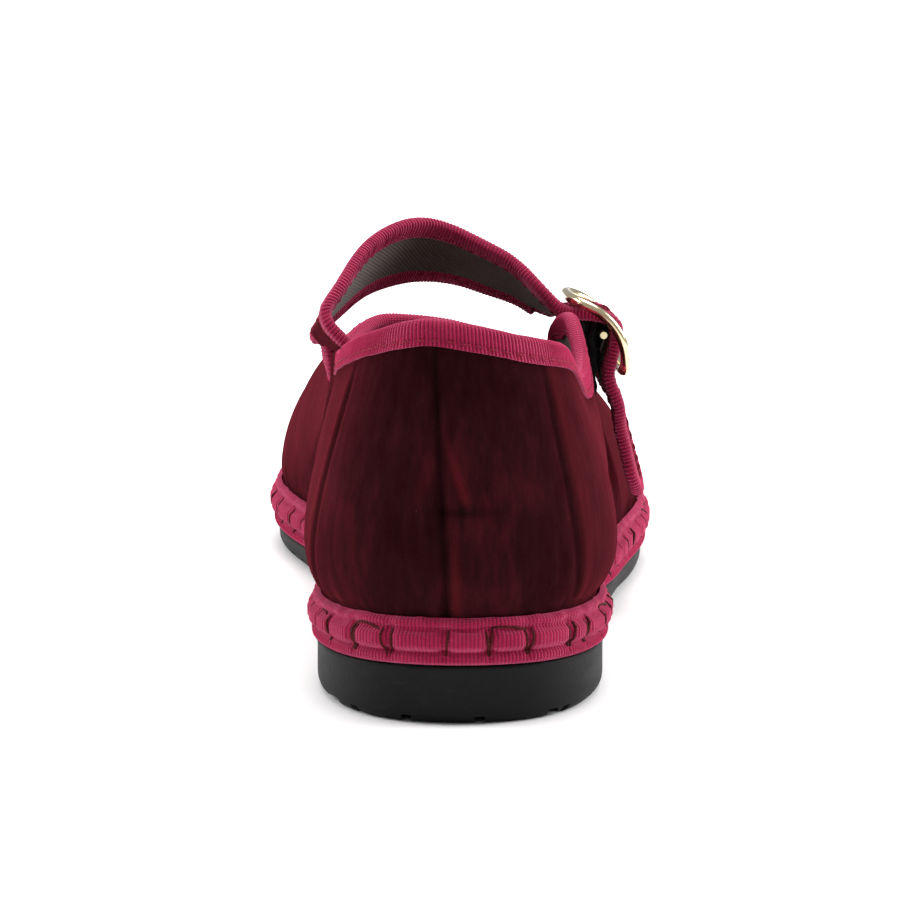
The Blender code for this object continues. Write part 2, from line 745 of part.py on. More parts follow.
def stand_at_origin(items):
    """Hang every piece on one empty that puts the middle of the footprint at the origin."""
    bpy.context.view_layer.update()
    graph = bpy.context.evaluated_depsgraph_get()
    low = np.full(3, np.inf)
    high = np.full(3, -np.inf)
    for item in items:
        mesh = item.evaluated_get(graph).to_mesh()
        points = np.empty(len(mesh.vertices) * 3)
        mesh.vertices.foreach_get("co", points)
        points = points.reshape(-1, 3)
        low = np.minimum(low, points.min(axis=0))
        high = np.maximum(high, points.max(axis=0))
    stand = bpy.data.objects.new("shoe_origin", None)
    bpy.context.scene.collection.objects.link(stand)
    stand.location = (-(low[0] + high[0]) / 2, -(low[1] + high[1]) / 2, -low[2])
    for item in bpy.context.scene.objects:
        if item is not stand:
            item.parent = stand


def main():
    clear_scene()
    rubber = new_material("black_rubber", (0.012, 0.012, 0.013), 0.55)
    velvet = new_material("burgundy_velvet", (0.070, 0.008, 0.016), 0.85)
    grosgrain = new_material("raspberry_grosgrain", (0.420, 0.022, 0.100), 0.70)
    lining = new_material("dark_twill", (0.030, 0.018, 0.017), 0.80)
    brass = new_material("pale_brass", (0.830, 0.690, 0.420), 0.18, 1.0)
    elastic = new_material("black_elastic", (0.010, 0.010, 0.010), 0.80)
    last = Last()
    strap = Strap(last)
    items = [
        make_outsole(last, rubber),
        make_band(last, grosgrain),
        make_insole(last, lining),
        make_upper(last, velvet),
        *make_tapes(last, grosgrain),
        make_strap(strap, velvet),
        make_strap_tape(strap, grosgrain),
        *make_buckle(brass),
        make_elastic(elastic),
    ]
    stand_at_origin(items)


main()
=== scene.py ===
"""Looks of a right mary jane flat: velvet upper, grosgrain tape, hand-sewn band and rubber sole."""

import math
from collections import namedtuple

import bmesh
import bpy
import numpy as np
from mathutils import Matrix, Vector, noise


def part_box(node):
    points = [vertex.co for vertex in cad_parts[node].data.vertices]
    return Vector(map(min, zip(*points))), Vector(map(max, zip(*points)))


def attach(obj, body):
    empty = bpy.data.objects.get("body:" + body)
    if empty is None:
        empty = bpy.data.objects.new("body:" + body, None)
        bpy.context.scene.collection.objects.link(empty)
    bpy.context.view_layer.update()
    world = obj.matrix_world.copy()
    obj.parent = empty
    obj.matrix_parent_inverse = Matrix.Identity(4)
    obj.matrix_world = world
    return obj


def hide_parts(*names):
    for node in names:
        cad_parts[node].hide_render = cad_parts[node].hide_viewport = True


bl_info = {
    "name": "Mary jane flat",
    "version": (1, 0, 0),
    "blender": (4, 5, 0),
    "location": "View3D > Sidebar > Shoe",
    "description": "Dresses the mary jane flat in velvet, grosgrain tape, rubber and brass",
    "category": "Object",
}

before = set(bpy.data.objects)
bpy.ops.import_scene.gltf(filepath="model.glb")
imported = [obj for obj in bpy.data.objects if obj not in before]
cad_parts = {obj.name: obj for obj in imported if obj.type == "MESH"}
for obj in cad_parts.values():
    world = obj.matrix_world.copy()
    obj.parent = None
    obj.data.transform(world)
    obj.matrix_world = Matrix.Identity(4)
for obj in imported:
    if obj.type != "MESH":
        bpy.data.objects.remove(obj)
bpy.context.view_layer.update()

# Main sizes of the shoe
SHOE_LENGTH = 0.250
BALL_WIDTH = 0.0825
HEEL_WIDTH = 0.0596
COLLAR_HEIGHT = 0.0850
THROAT_HEIGHT = 0.0575
HEEL_THICKNESS = 0.0126
FOREFOOT_THICKNESS = 0.0050
TOE_SPRING = 0.0062
ARCH_RISE = 0.0016
SOLE_EDGE_INSET = 0.0026
SOLE_EDGE_RISE = 0.0027
TREAD_PITCH = 0.0154
TREAD_WIDTH = 0.0022
TREAD_DEPTH = 0.0017
TREAD_SHIFT = 0.0041
BAND_HEIGHT = 0.0100
BAND_INSET = 0.0005
BAND_SWELL = 0.0018
WALL = 0.0022
INSOLE_THICKNESS = 0.0040
TAPE_WIDTH = 0.0060
TAPE_THICKNESS = 0.0032
SKIRT_MARGIN = 0.0004
STRAP_WIDTH = 0.0195
STRAP_ROOT_WIDTH = 0.0245
STRAP_THICKNESS = 0.0022
STRAP_TAPE_WIDTH = 0.0044
STRAP_TAPE_THICKNESS = 0.0030
STRAP_HEIGHT = 0.0795
STRAP_ROOT_SEAM = 0.0020
STRAP_ROOT_MIDDLE = 0.370
BUCKLE_LENGTH = 0.0228
BUCKLE_REACH = 0.0276
BUCKLE_WIRE = 0.0026
BUCKLE_BOW = 0.0040
BUCKLE_SLOPE = math.radians(54.5)
BUCKLE_TILT = math.radians(11.5)
BUCKLE_LEADS = (math.radians(27), math.radians(16))
BAR_DIAMETER = 0.0016
BAR_DEPTH = 0.0010
ELASTIC_WIDTH = 0.0095
ELASTIC_THICKNESS = 0.0009
ELASTIC_DROP = 0.0150
ELASTIC_LEAN = 0.0006
GAP = 0.0003
WEDGE_END = 0.64
SPRING_START = 0.76
ARCH_SPAN = (0.30, 0.60)

# Upper: grid, and where the velvet dips and swells, in metres from the back seam or the floor
UPPER_COLUMNS, UPPER_ROWS = 800, 50
PILE_SWELL, PILE_RIPPLE = 0.00050, 0.00020
SEAM_SHIFT, SEAM_GROOVE, SEAM_LIPS = -0.0030, 0.00065, 0.00030
DIMPLE_HEIGHT, DIMPLE_DEPTH, DIMPLE_RIM = 0.0455, 0.0012, 0.0009
COUNTER_OUTER, COUNTER_INNER, COUNTER_FOOT = 0.0240, 0.0385, 0.020
COUNTER_GROOVE, COUNTER_LIP = 0.00040, 0.00022
PUCKER = 0.00022

# Tape and threads: the seam's place as a share of the width, section shape, depths and chances
TAPE_SEAM = 0.78
TAPE_ROUNDING = (0.72, 0.62)
TAPE_GIRTH = 0.0135
PEAK_NARROWING = 0.42
SEAM_HOLLOW = 0.00012
STITCH_ARCH = np.sin(np.linspace(0, math.pi, 5)) * 0.00022
STITCH_SINK = (-0.0008, 0.0001, 0.00022, 0.00024, 0.00024, 0.00024, 0.00022, 0.0001, -0.0008)
STITCH_PINCH = 0.00115
BAND_ROWS = ((0, 0.26, 8), (0.28, 0.74, 13), (0.765, 1, 8))
BAND_RIB_HEIGHT = 0.00007
TWIN_CHANCE = 0.8
LOOSE_RUN_CHANCE = 0.35
THREAD_TWIST = 0.0009
SHARP_ANGLE = math.radians(50)

# Sole: edge above its rounded foot, as distances out and below its top, with the parting line
SOLE_COLUMNS = 420
SOLE_EDGE = ((0.0, 0.0012), (0.00012, 0.0009), (0.0, GAP), (-GAP, 0.0))
TREAD_LANES = (-2, -1, 0, 1, 2)

# Footbed: grid, rolled edge, hollow, and the line it narrows to from heel to toe
INSOLE_COLUMNS = 240
INSOLE_ROLL, INSOLE_HOLLOW = 0.0012, 0.0007
INSOLE_SPINE_SIDE, INSOLE_SPINE_SHARE, INSOLE_SPINE_START = -0.0015, 0.965, 0.0045

# Strap: grid, starts below the edge of the upper, share of the tape over it, and its soft swell
STRAP_COLUMNS, STRAP_ROWS = 260, 17
STRAP_START, STRAP_TAPE_START = -0.0035, -0.0045
STRAP_COVER = 0.6
STRAP_CROWN, STRAP_SOFTNESS = 0.00015, 0.00018
STRAP_TAPE_UNDERLAP = 0.42

# Buckle and elastic: section shapes, flattened wire, turn round the bar and ripples
BUCKLE_ROUNDING = (0.62, 0.62)
WIRE_ROUNDING, WIRE_HEIGHT = (0.85, 0.85), 0.42
ELASTIC_ROUNDING = (0.35, 0.6)
ELASTIC_TURN = (math.radians(60), math.radians(-150))
ELASTIC_RIPPLE, ELASTIC_RIPPLE_PITCH = 0.00018, 0.0042
WEB_RIPPLE, WEB_RIPPLE_SPAN = 0.00025, 18
FRAY_COUNT = 20

# Slack web of the elastic, from top to foot: its middle and the way its width runs
ELASTIC_WEB = (
    (0.0284, -0.0065, 0.0645), (0.0288, -0.0060, 0.0610),
    (0.0290, -0.0055, 0.0560), (0.0288, -0.0050, 0.0490),
)
ELASTIC_WEB_TURN = ((0.80, 0.60, 0.0), (0.72, 0.69, 0.0), (0.55, 0.83, 0.0), (0.30, 0.95, 0.0))

# Camera: height angle, focal length in pixels of the 920 pixel frame and distance to the heel
FRAME_PIXELS = 920
VIEW_ANGLE = math.radians(11.5)
FOCAL_PIXELS = 8460
HEEL_DISTANCE = 1.776
HEEL_PIXEL = 723

# Lights: name, place, size and what they point at
Lamp = namedtuple("Lamp", "name place size aim")
LAMPS = (
    Lamp("left", (-1.25, 0.25, 0.75), 0.9, (0.0, 0.0, 0.04)),
    Lamp("right", (1.25, 0.15, 0.75), 0.9, (0.0, 0.0, 0.04)),
    Lamp("top", (0.0, 0.35, 1.7), 1.5, (0.0, 0.0, 0.0)),
)

# Sections round the shoe, from the back seam along the outer side to the toe and back
Section = namedtuple(
    "Section",
    "along heel ball top_along top_side collar throat low_out low_up high_out high_down",
)
SECTIONS = (
    Section(0.000, 0.00, 0.000, 0.034, -0.08, 1.000, 0.00, 0.13, 0.18, 0.018, 0.26),
    Section(0.022, 0.58, 0.000, 0.050, 0.305, 0.955, 0.00, 0.16, 0.17, 0.021, 0.25),
    Section(0.125, 1.00, 0.000, 0.135, 0.545, 0.877, 0.00, 0.23, 0.11, 0.020, 0.22),
    Section(0.250, 0.99, 0.000, 0.250, 0.620, 0.745, 0.00, 0.22, 0.11, 0.020, 0.18),
    Section(0.335, 0.74, 0.175, 0.338, 0.650, 0.762, 0.00, 0.17, 0.15, 0.020, 0.23),
    Section(0.385, 0.52, 0.370, 0.390, 0.605, 0.820, 0.00, 0.11, 0.14, 0.018, 0.26),
    Section(0.430, 0.38, 0.530, 0.440, 0.545, 0.785, 0.00, 0.07, 0.12, 0.024, 0.20),
    Section(0.490, 0.25, 0.680, 0.512, 0.506, 0.000, 1.02, 0.05, 0.11, 0.030, 0.10),
    Section(0.645, 0.00, 0.995, 0.577, 0.480, 0.000, 0.935, 0.04, 0.11, 0.044, 0.08),
    Section(0.800, 0.00, 0.905, 0.615, 0.300, 0.000, 0.925, 0.06, 0.11, 0.100, 0.13),
    Section(0.920, 0.00, 0.580, 0.636, 0.060, 0.000, 0.965, 0.07, 0.11, 0.150, 0.18),
    Section(1.000, 0.00, -0.12, 0.643, -0.17, 0.000, 0.995, 0.07, 0.105, 0.180, 0.20),
    Section(0.935, 0.00, -0.66, 0.638, -0.315, 0.000, 1.008, 0.07, 0.11, 0.150, 0.17),
    Section(0.820, 0.00, -0.955, 0.616, -0.47, 0.000, 1.010, 0.07, 0.12, 0.095, 0.10),
    Section(0.715, 0.00, -1.00, 0.552, -0.600, 0.000, 0.980, 0.05, 0.12, 0.040, 0.08),
    Section(0.610, 0.00, -0.845, 0.452, -0.680, 0.000, 0.99, 0.10, 0.14, 0.010, 0.14),
    Section(0.470, -0.45, -0.36, 0.368, -0.675, 0.735, 0.00, 0.18, 0.15, -0.004, 0.20),
    Section(0.270, -0.955, 0.00, 0.264, -0.615, 0.800, 0.00, 0.21, 0.11, 0.016, 0.20),
    Section(0.125, -1.00, 0.00, 0.135, -0.545, 0.900, 0.00, 0.22, 0.11, 0.018, 0.22),
    Section(0.022, -0.58, 0.00, 0.050, -0.315, 0.985, 0.00, 0.16, 0.17, 0.021, 0.25),
)

# Outer face of the band, from the sole upwards: swell and height as shares
BandStep = namedtuple("BandStep", "swell height")
BAND_FACE = (
    BandStep(0.10, 0.00),
    BandStep(0.50, 0.05),
    BandStep(0.62, 0.14),
    BandStep(0.52, 0.22),
    BandStep(0.22, 0.27),
    BandStep(0.72, 0.36),
    BandStep(1.00, 0.52),
    BandStep(0.82, 0.67),
    BandStep(0.36, 0.75),
    BandStep(0.66, 0.84),
    BandStep(0.60, 0.94),
    BandStep(0.10, 1.00),
)

# Middle of the strap, as in the solid
StrapPoint = namedtuple("StrapPoint", "side along height tilt turn")
STRAP_RUN = (
    StrapPoint(-0.728, 0.3740, 0.850, 20, -0.12),
    StrapPoint(-0.680, 0.3900, 0.902, 27, -0.10),
    StrapPoint(-0.595, 0.4140, 0.945, 34, -0.06),
    StrapPoint(-0.505, 0.4390, 0.976, 40, -0.03),
    StrapPoint(-0.375, 0.4640, 0.998, 46, 0.00),
    StrapPoint(-0.190, 0.4880, 0.996, 49, 0.00),
    StrapPoint(0.000, 0.4950, 0.973, 46, 0.00),
    StrapPoint(0.180, 0.4900, 0.938, 42, 0.00),
    StrapPoint(0.330, 0.4830, 0.902, 35, 0.00),
)
BucklePass = namedtuple("BucklePass", "slide lift")
BUCKLE_RUN = (
    BucklePass(-0.590, -1.46),
    BucklePass(-0.440, -1.18),
    BucklePass(-0.200, 0.45),
    BucklePass(0.000, 1.14),
    BucklePass(0.210, 0.20),
    BucklePass(0.430, -0.96),
    BucklePass(0.560, -1.15),
)
TAIL_RUN = (
    StrapPoint(0.842, 0.478, 0.560, 6, 0.00),
    StrapPoint(0.886, 0.480, 0.470, 3, 0.02),
    StrapPoint(0.925, 0.482, 0.390, 1, 0.04),
    StrapPoint(0.970, 0.484, 0.310, 0, 0.06),
)
BUCKLE_MIDDLE = StrapPoint(0.722, 0.477, 0.774, 0, 0)


# Curves and the shoe's form

def spline(knots, values, closed=False):
    """Smooth curve through rows of values, as a function of a position between the knots."""
    knots = np.asarray(knots, float)
    values = np.asarray(values, float)
    if values.ndim == 1:
        values = values[:, None]
    count = len(values)
    steps = np.diff(knots)
    system = np.eye(count)
    target = np.zeros_like(values)
    for i in range(count) if closed else range(1, count - 1):
        before = steps[i - 1]
        after = steps[i]
        prior = (i - 1) % count
        follow = (i + 1) % count
        system[i] = 0
        system[i, prior] += before
        system[i, i] += 2 * (before + after)
        system[i, follow] += after
        rise = (values[follow] - values[i]) / after
        target[i] = 6 * (rise - (values[i] - values[prior]) / before)
    bends = np.linalg.solve(system, target)

    def at(places):
        """Values of the curve at places."""
        places = np.atleast_1d(np.asarray(places, float))
        if closed:
            places = np.mod(places - knots[0], knots[-1] - knots[0]) + knots[0]
        spot = np.clip(np.searchsorted(knots, places, side="right") - 1, 0, len(steps) - 1)
        step = steps[spot][:, None]
        share = ((places - knots[spot])[:, None]) / step
        rest = 1 - share
        nxt = (spot + 1) % count
        bend = (rest**3 - rest) * bends[spot] + (share**3 - share) * bends[nxt]
        return rest * values[spot] + share * values[nxt] + bend * step**2 / 6

    return at


def lengths_along(points):
    """Distance run at each point of a row of points."""
    steps = np.linalg.norm(np.diff(points, axis=0), axis=1)
    return np.concatenate([[0.0], np.cumsum(steps)])


def chord_knots(points, closed):
    """Knots spaced by the distance between neighbouring points."""
    points = np.asarray(points, float)
    if closed:
        points = np.vstack([points, points[:1]])
    return lengths_along(points)


def unit(vectors):
    """Rows scaled to length one."""
    return vectors / np.linalg.norm(vectors, axis=-1, keepdims=True)


def hill(values, width):
    """A soft hill round zero."""
    return np.exp(-((values / width) ** 2))


def cloud(points, scale, seed):
    """Smooth random values between about -1 and 1 at rows of points."""
    shift = Vector((seed * 7.3, seed * 3.1, seed * 5.7))
    return np.array([noise.noise(Vector(point) * scale + shift) for point in points])


def cloud_line(runs, scale, seed):
    """Smooth random values at distances along a line."""
    return cloud(np.column_stack([runs, runs * 0, runs * 0]), scale, seed)


def cloud_ring(runs, scale, seed):
    """Smooth random values at distances round the shoe, the same again after a full turn."""
    angles = 2 * math.pi * runs / FORM.girth
    return cloud(np.column_stack([np.cos(angles), np.sin(angles), runs * 0]), scale, seed)


def sole_bottom(along):
    """Height of the tread above the floor."""
    start, end = ARCH_SPAN
    arch = np.sin(math.pi * np.clip((along - start) / (end - start), 0, 1)) ** 2
    lift = np.clip((along - SPRING_START) / (1 - SPRING_START), 0, None) ** 2
    return ARCH_RISE * arch + TOE_SPRING * lift


def sole_top(along):
    """Height of the sole's upper face."""
    wedge = np.clip(1 - along / WEDGE_END, 0, 1) ** 1.1
    lift = np.clip((along - SPRING_START) / (1 - SPRING_START), 0, None) ** 2
    return FOREFOOT_THICKNESS + (HEEL_THICKNESS - FOREFOOT_THICKNESS) * wedge + TOE_SPRING * lift


def plan_points(rows):
    """Outline points in plan for rows of section values."""
    side = rows[:, 1] * HEEL_WIDTH / 2 + rows[:, 2] * BALL_WIDTH / 2
    return np.column_stack([side, rows[:, 0] * SHOE_LENGTH])


class ShoeForm:
    """The shoe's outline and the ribs of its upper at any place round the outline."""

    def __init__(self):
        rows = np.array(SECTIONS, float)
        knots = chord_knots(plan_points(rows), True)
        self.turn = knots[-1]
        self.rows = spline(knots, rows, True)
        self.dense = np.linspace(0, self.turn, 6001)
        plan = plan_points(self.rows(self.dense))
        self.runs = lengths_along(plan)
        self.girth = self.runs[-1]
        low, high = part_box("outsole")
        middle = (plan.min(axis=0) + plan.max(axis=0)) / 2
        shift = [(start + stop) / 2 - centre for start, stop, centre in zip(low, high, middle)]
        self.shift = np.array([*shift, 0.0])

    def round_places(self, count):
        """Evenly spaced places round the outline, first and last the same, and their distances."""
        runs = np.linspace(0, self.girth, count + 1)
        return np.interp(runs, self.runs, self.dense), runs

    def outline(self, places):
        """Plan points, outward directions and section values."""
        step = 0.0003
        rows = self.rows(places)
        ahead = plan_points(self.rows(places + step)) - plan_points(self.rows(places - step))
        normal = unit(np.column_stack([ahead[:, 1], -ahead[:, 0]]))
        return plan_points(rows), normal, rows

    def ring(self, places, offset, height):
        """Points at a distance outside the outline and a height over the floor."""
        plan, normal = self.outline(places)[:2]
        plan = plan + normal * np.reshape(offset, (-1, 1))
        return np.column_stack([plan, np.broadcast_to(height, len(plan))]) + self.shift

    def along(self, places):
        """Share of the length at each place."""
        return self.rows(places)[:, 0]

    def ribs(self, places, samples=96):
        """Curves from the band's top to the upper's edge."""
        plan, normal, rows = self.outline(places)
        seat = sole_top(rows[:, 0])
        inset = plan - normal * (BAND_INSET + GAP)
        foot = np.column_stack([inset, seat + BAND_HEIGHT + 2 * GAP + SKIRT_MARGIN])
        height = rows[:, 5] * COLLAR_HEIGHT + rows[:, 6] * THROAT_HEIGHT
        top = np.column_stack([rows[:, 4] * BALL_WIDTH / 2, rows[:, 3] * SHOE_LENGTH, height])
        lean = unit(foot[:, :2] - top[:, :2] + normal * BAND_HEIGHT)
        low = foot.copy()
        low[:, :2] += normal * (rows[:, 7] * BALL_WIDTH / 2)[:, None]
        low[:, 2] += rows[:, 8] * COLLAR_HEIGHT
        high = top.copy()
        high[:, :2] += lean * (rows[:, 9] * SHOE_LENGTH)[:, None]
        high[:, 2] -= rows[:, 10] * COLLAR_HEIGHT
        t = np.linspace(0, 1, samples)[None, :, None]
        parts = [point[:, None, :] for point in (foot, low, high, top)]
        weights = ((1 - t) ** 3, 3 * t * (1 - t) ** 2, 3 * t**2 * (1 - t), t**3)
        return sum(weight * part for weight, part in zip(weights, parts)) + self.shift

    def on_upper(self, places, from_top):
        """Points of the upper's outer face at distances below its edge, by place and distance."""
        points = []
        for rib, drops in zip(self.ribs(places), from_top):
            runs = lengths_along(rib)
            at = runs[-1] - drops
            points.append(np.column_stack([np.interp(at, runs, rib[:, axis]) for axis in range(3)]))
        return np.array(points)

    def upper_face(self, places, from_top):
        """Points of the outer face and its outward directions."""
        step = 0.0006
        points = self.on_upper(places, from_top)
        along = self.on_upper(places + step, from_top) - self.on_upper(places - step, from_top)
        up = self.on_upper(places, from_top - step) - self.on_upper(places, from_top + step)
        return points, unit(np.cross(along, up))

    def edge_places(self, start, end, count):
        """Places evenly spaced along the upper's edge between two places."""
        fine = np.linspace(start, end, 1500)
        tops = self.ribs(fine, 2)[:, -1]
        runs = lengths_along(tops)
        return np.interp(np.linspace(0, runs[-1], count), runs, fine), np.linspace(0, runs[-1], count)

    def root_span(self):
        """Places where the strap's root starts and ends, and the outer peak of the edge."""
        rows = self.rows(self.dense)
        half = STRAP_ROOT_WIDTH / 2 / SHOE_LENGTH
        inside = (rows[:, 4] < 0) & (np.abs(rows[:, 3] - STRAP_ROOT_MIDDLE) < half)
        root = self.dense[inside]
        side = (rows[:, 4] > 0) & (rows[:, 0] > 0.33) & (rows[:, 0] < 0.44)
        peak = self.dense[side][np.argmax(rows[side, 5])]
        return root[0], root[-1], peak

    def strap_root(self):
        """Where the strap starts, and the direction of the edge there."""
        start, end = self.root_span()[:2]
        tops = self.ribs(np.array([end, start]), 2)[:, -1] - self.shift
        middle = tops.mean(axis=0) + np.array([WALL / 2, 0.0, STRAP_ROOT_SEAM])
        return middle, unit(tops[1] - tops[0])


def strap_place(row):
    """Middle of the strap at a row of the table."""
    return np.array([row.side * BALL_WIDTH / 2, row.along * SHOE_LENGTH, row.height * STRAP_HEIGHT])


def buckle_axes():
    """Middle, slide direction, outward direction and reach direction of the buckle."""
    slide = np.array([math.cos(BUCKLE_SLOPE), 0.0, -math.sin(BUCKLE_SLOPE)])
    reach = np.array([0.0, math.cos(BUCKLE_TILT), -math.sin(BUCKLE_TILT)])
    reach = unit(reach - slide * float(reach @ slide))
    return strap_place(BUCKLE_MIDDLE), slide, np.cross(slide, reach), reach


class StrapForm:
    """The strap's middle surface, from its root to its free end."""

    def __init__(self, form):
        middle, slide, out, reach = buckle_axes()
        root, root_lean = form.strap_root()
        spots = [root] + [strap_place(row) for row in STRAP_RUN]
        spreads = [root_lean] + [self.spread(row) for row in STRAP_RUN]
        for step in BUCKLE_RUN:
            offset = slide * step.slide * BUCKLE_LENGTH + out * step.lift * BUCKLE_BOW
            spots.append(middle + offset)
            spreads.append(reach)
        for lead, tilt in enumerate(BUCKLE_LEADS):
            spreads[len(STRAP_RUN) + 1 + lead] = np.array([0.0, math.cos(tilt), -math.sin(tilt)])
        spots += [strap_place(row) for row in TAIL_RUN]
        spreads += [self.spread(row) for row in TAIL_RUN]
        knots = chord_knots(spots, False)
        self.length = knots[-1]
        self.centre = spline(knots, spots)
        self.lean = spline(knots, spreads)
        self.shift = form.shift

    @staticmethod
    def spread(row):
        """Direction of the strap's width at a row of the table."""
        tilt = math.radians(row.tilt)
        return unit(np.array([row.turn, math.cos(tilt), -math.sin(tilt)]))

    def frames(self, along):
        """Middle points, width directions and outward directions at distances from the root."""
        step = 0.0005
        spots = self.centre(along)
        runs = unit(self.centre(along + step) - self.centre(along - step))
        leans = self.lean(along)
        leans = unit(leans - runs * np.sum(leans * runs, axis=1, keepdims=True))
        return spots + self.shift, leans, np.cross(runs, leans)

    def half_width(self, along):
        """Half of the width, which flares at the root."""
        flare = np.clip(1 - along / (STRAP_ROOT_WIDTH * 0.8), 0, 1) ** 2
        return (STRAP_WIDTH + (STRAP_ROOT_WIDTH - STRAP_WIDTH) * flare) / 2

    def points(self, along, across, lift):
        """Points at distances along, across and off the middle surface."""
        spots, leans, outs = self.frames(along)
        return spots + leans * np.reshape(across, (-1, 1)) + outs * np.reshape(lift, (-1, 1))


FORM = ShoeForm()
STRAP = StrapForm(FORM)


# Meshes

def place_grid(bm, layer, points, cloth, slots=None, nap_and_painted_light=None):
    """Add a grid by the grid operator, each vertex at its point, with the cloth's coordinates."""
    columns, rows = points.shape[:2]
    made = bmesh.ops.create_grid(bm, x_segments=columns - 1, y_segments=rows - 1, size=0.5)["verts"]
    spots = {vert: (round((vert.co.x + 0.5) * (columns - 1)), round((vert.co.y + 0.5) * (rows - 1)))
             for vert in made}
    for face in {face for vert in made for face in vert.link_faces}:
        face.smooth = True
        for loop in face.loops:
            i, j = spots[loop.vert]
            loop[layer].uv = cloth[i][j]
        if slots is not None:
            face.material_index = slots[min(spots[vert][1] for vert in face.verts)]
    # Painted highlight and painted shade values, kept on the vertices for the velvet's colour.
    painted_light_layer = bm.verts.layers.float.get("nap_and_painted_light")
    for vert, spot in spots.items():
        vert.co = Vector(points[spot])
        if nap_and_painted_light is not None:
            vert[painted_light_layer] = nap_and_painted_light[spot]


def place_object(name, bm, materials=()):
    """A mesh as an object of the scene, with its materials."""
    mesh = bpy.data.meshes.new(name)
    bm.to_mesh(mesh)
    bm.free()
    for label in materials:
        mesh.materials.append(material(label))
    placed = bpy.data.objects.new(name, mesh)
    bpy.context.scene.collection.objects.link(placed)
    return placed


def finish_piece(name, bm, slot, nodes=(), materials=()):
    """Merge seams, close holes, turn the faces out and make the piece ride on the shoe."""
    bmesh.ops.remove_doubles(bm, verts=bm.verts, dist=1e-7)
    rims = [edge for edge in bm.edges if edge.is_boundary]
    if rims:
        bmesh.ops.holes_fill(bm, edges=rims, sides=0)
    bmesh.ops.recalc_face_normals(bm, faces=bm.faces)
    piece = place_object(name, bm, materials or (slot,))
    piece.data.set_sharp_from_angle(angle=SHARP_ANGLE)
    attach(piece, "root")
    if nodes:
        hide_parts(*nodes)
    return piece


def cloth_coordinates(columns, rows):
    """Cloth coordinates from distances along the columns and the rows."""
    return [[(u, v) for v in rows] for u in columns]


def grid_piece(name, slot, nodes, points, columns, rows, slots=None, nap_and_painted_light=None):
    """One closed grid as a piece: twill where its slots say so, with painted highlights and painted
    shade on its pile where values are given.
    """
    bm = bmesh.new()
    layer = bm.loops.layers.uv.new("cloth")
    if nap_and_painted_light is not None:
        bm.verts.layers.float.new("nap_and_painted_light")
    place_grid(bm, layer, points, cloth_coordinates(columns, rows), slots, nap_and_painted_light)
    finish_piece(name, bm, slot, nodes, (slot, "dark_twill") if slots else ())


def rounded(angles, out_power, lift_power):
    """Shares sideways and upwards round a section between an ellipse and a rectangle."""
    out, lift = np.cos(angles), np.sin(angles)
    return np.sign(out) * np.abs(out) ** out_power, np.sign(lift) * np.abs(lift) ** lift_power


def tube_points(path, across, outs, wide, thick):
    """A closed section set along a path, its width one way and its thickness the other."""
    across, outs = (np.broadcast_to(way, path.shape)[:, None] for way in (across, outs))
    grid = path[:, None] + across * np.atleast_2d(wide)[..., None]
    grid = grid + outs * np.atleast_2d(thick)[..., None]
    grid[:, -1] = grid[:, 0]
    return grid


def thread_piece(name, paths, radius, sides, thread, slot):
    """Short threads as tubes that follow their paths and narrow at their ends."""
    bm = bmesh.new()
    layer = bm.loops.layers.uv.new("cloth")
    angles = np.linspace(0, 2 * math.pi, sides + 1)
    for path, out in paths:
        runs = unit(np.gradient(path, axis=0))
        aside = unit(np.cross(runs, out))
        count = len(path)
        ends = np.sin(np.linspace(0.12, 1, count) * np.linspace(1, 0.12, count) * math.pi) ** 0.35
        thick = radius * np.clip(ends, 0.35, 1)[:, None]
        wide, high = thick * np.cos(angles), thick * np.sin(angles)
        points = tube_points(path, aside, np.cross(aside, runs), wide, high)
        cloth = cloth_coordinates(lengths_along(path) / THREAD_TWIST, angles / (2 * math.pi))
        place_grid(bm, layer, points, cloth)
    finish_piece(name, bm, slot, (), (thread,))


def loft_rings(bm, rings):
    """Extrude a closed loop from ring to ring and close both ends with strips across."""
    verts = [bm.verts.new(Vector(point)) for point in rings[0]]
    edges = [bm.edges.new(pair) for pair in zip(verts, verts[1:] + verts[:1])]
    ends = [(verts, edges)]
    for ring in rings[1:]:
        made = bmesh.ops.extrude_edge_only(bm, edges=edges)["geom"]
        fresh = {item for item in made if isinstance(item, bmesh.types.BMVert)}
        pulled = []
        for vert, point in zip(verts, ring):
            upper = next(e.other_vert(vert) for e in vert.link_edges if e.other_vert(vert) in fresh)
            upper.co = Vector(point)
            pulled.append(upper)
        verts = pulled
        edges = [item for item in made if isinstance(item, bmesh.types.BMEdge)
                 and item.verts[0] in fresh and item.verts[1] in fresh]
    ends.append((verts, edges))
    for rim_verts, rim_edges in ends:
        bmesh.ops.contextual_create(bm, geom=rim_edges)
        count = len(rim_verts)
        for i in range(1, count // 2):
            bmesh.ops.connect_verts(bm, verts=[rim_verts[i], rim_verts[count - i]])
    bmesh.ops.recalc_face_normals(bm, faces=bm.faces)


# Materials

def tint(colour, *shares):
    """A colour times one share, or times a share each for red, green and blue."""
    shares = shares * 3 if len(shares) == 1 else shares
    return (*(value * share for value, share in zip(colour, shares)), 1.0)


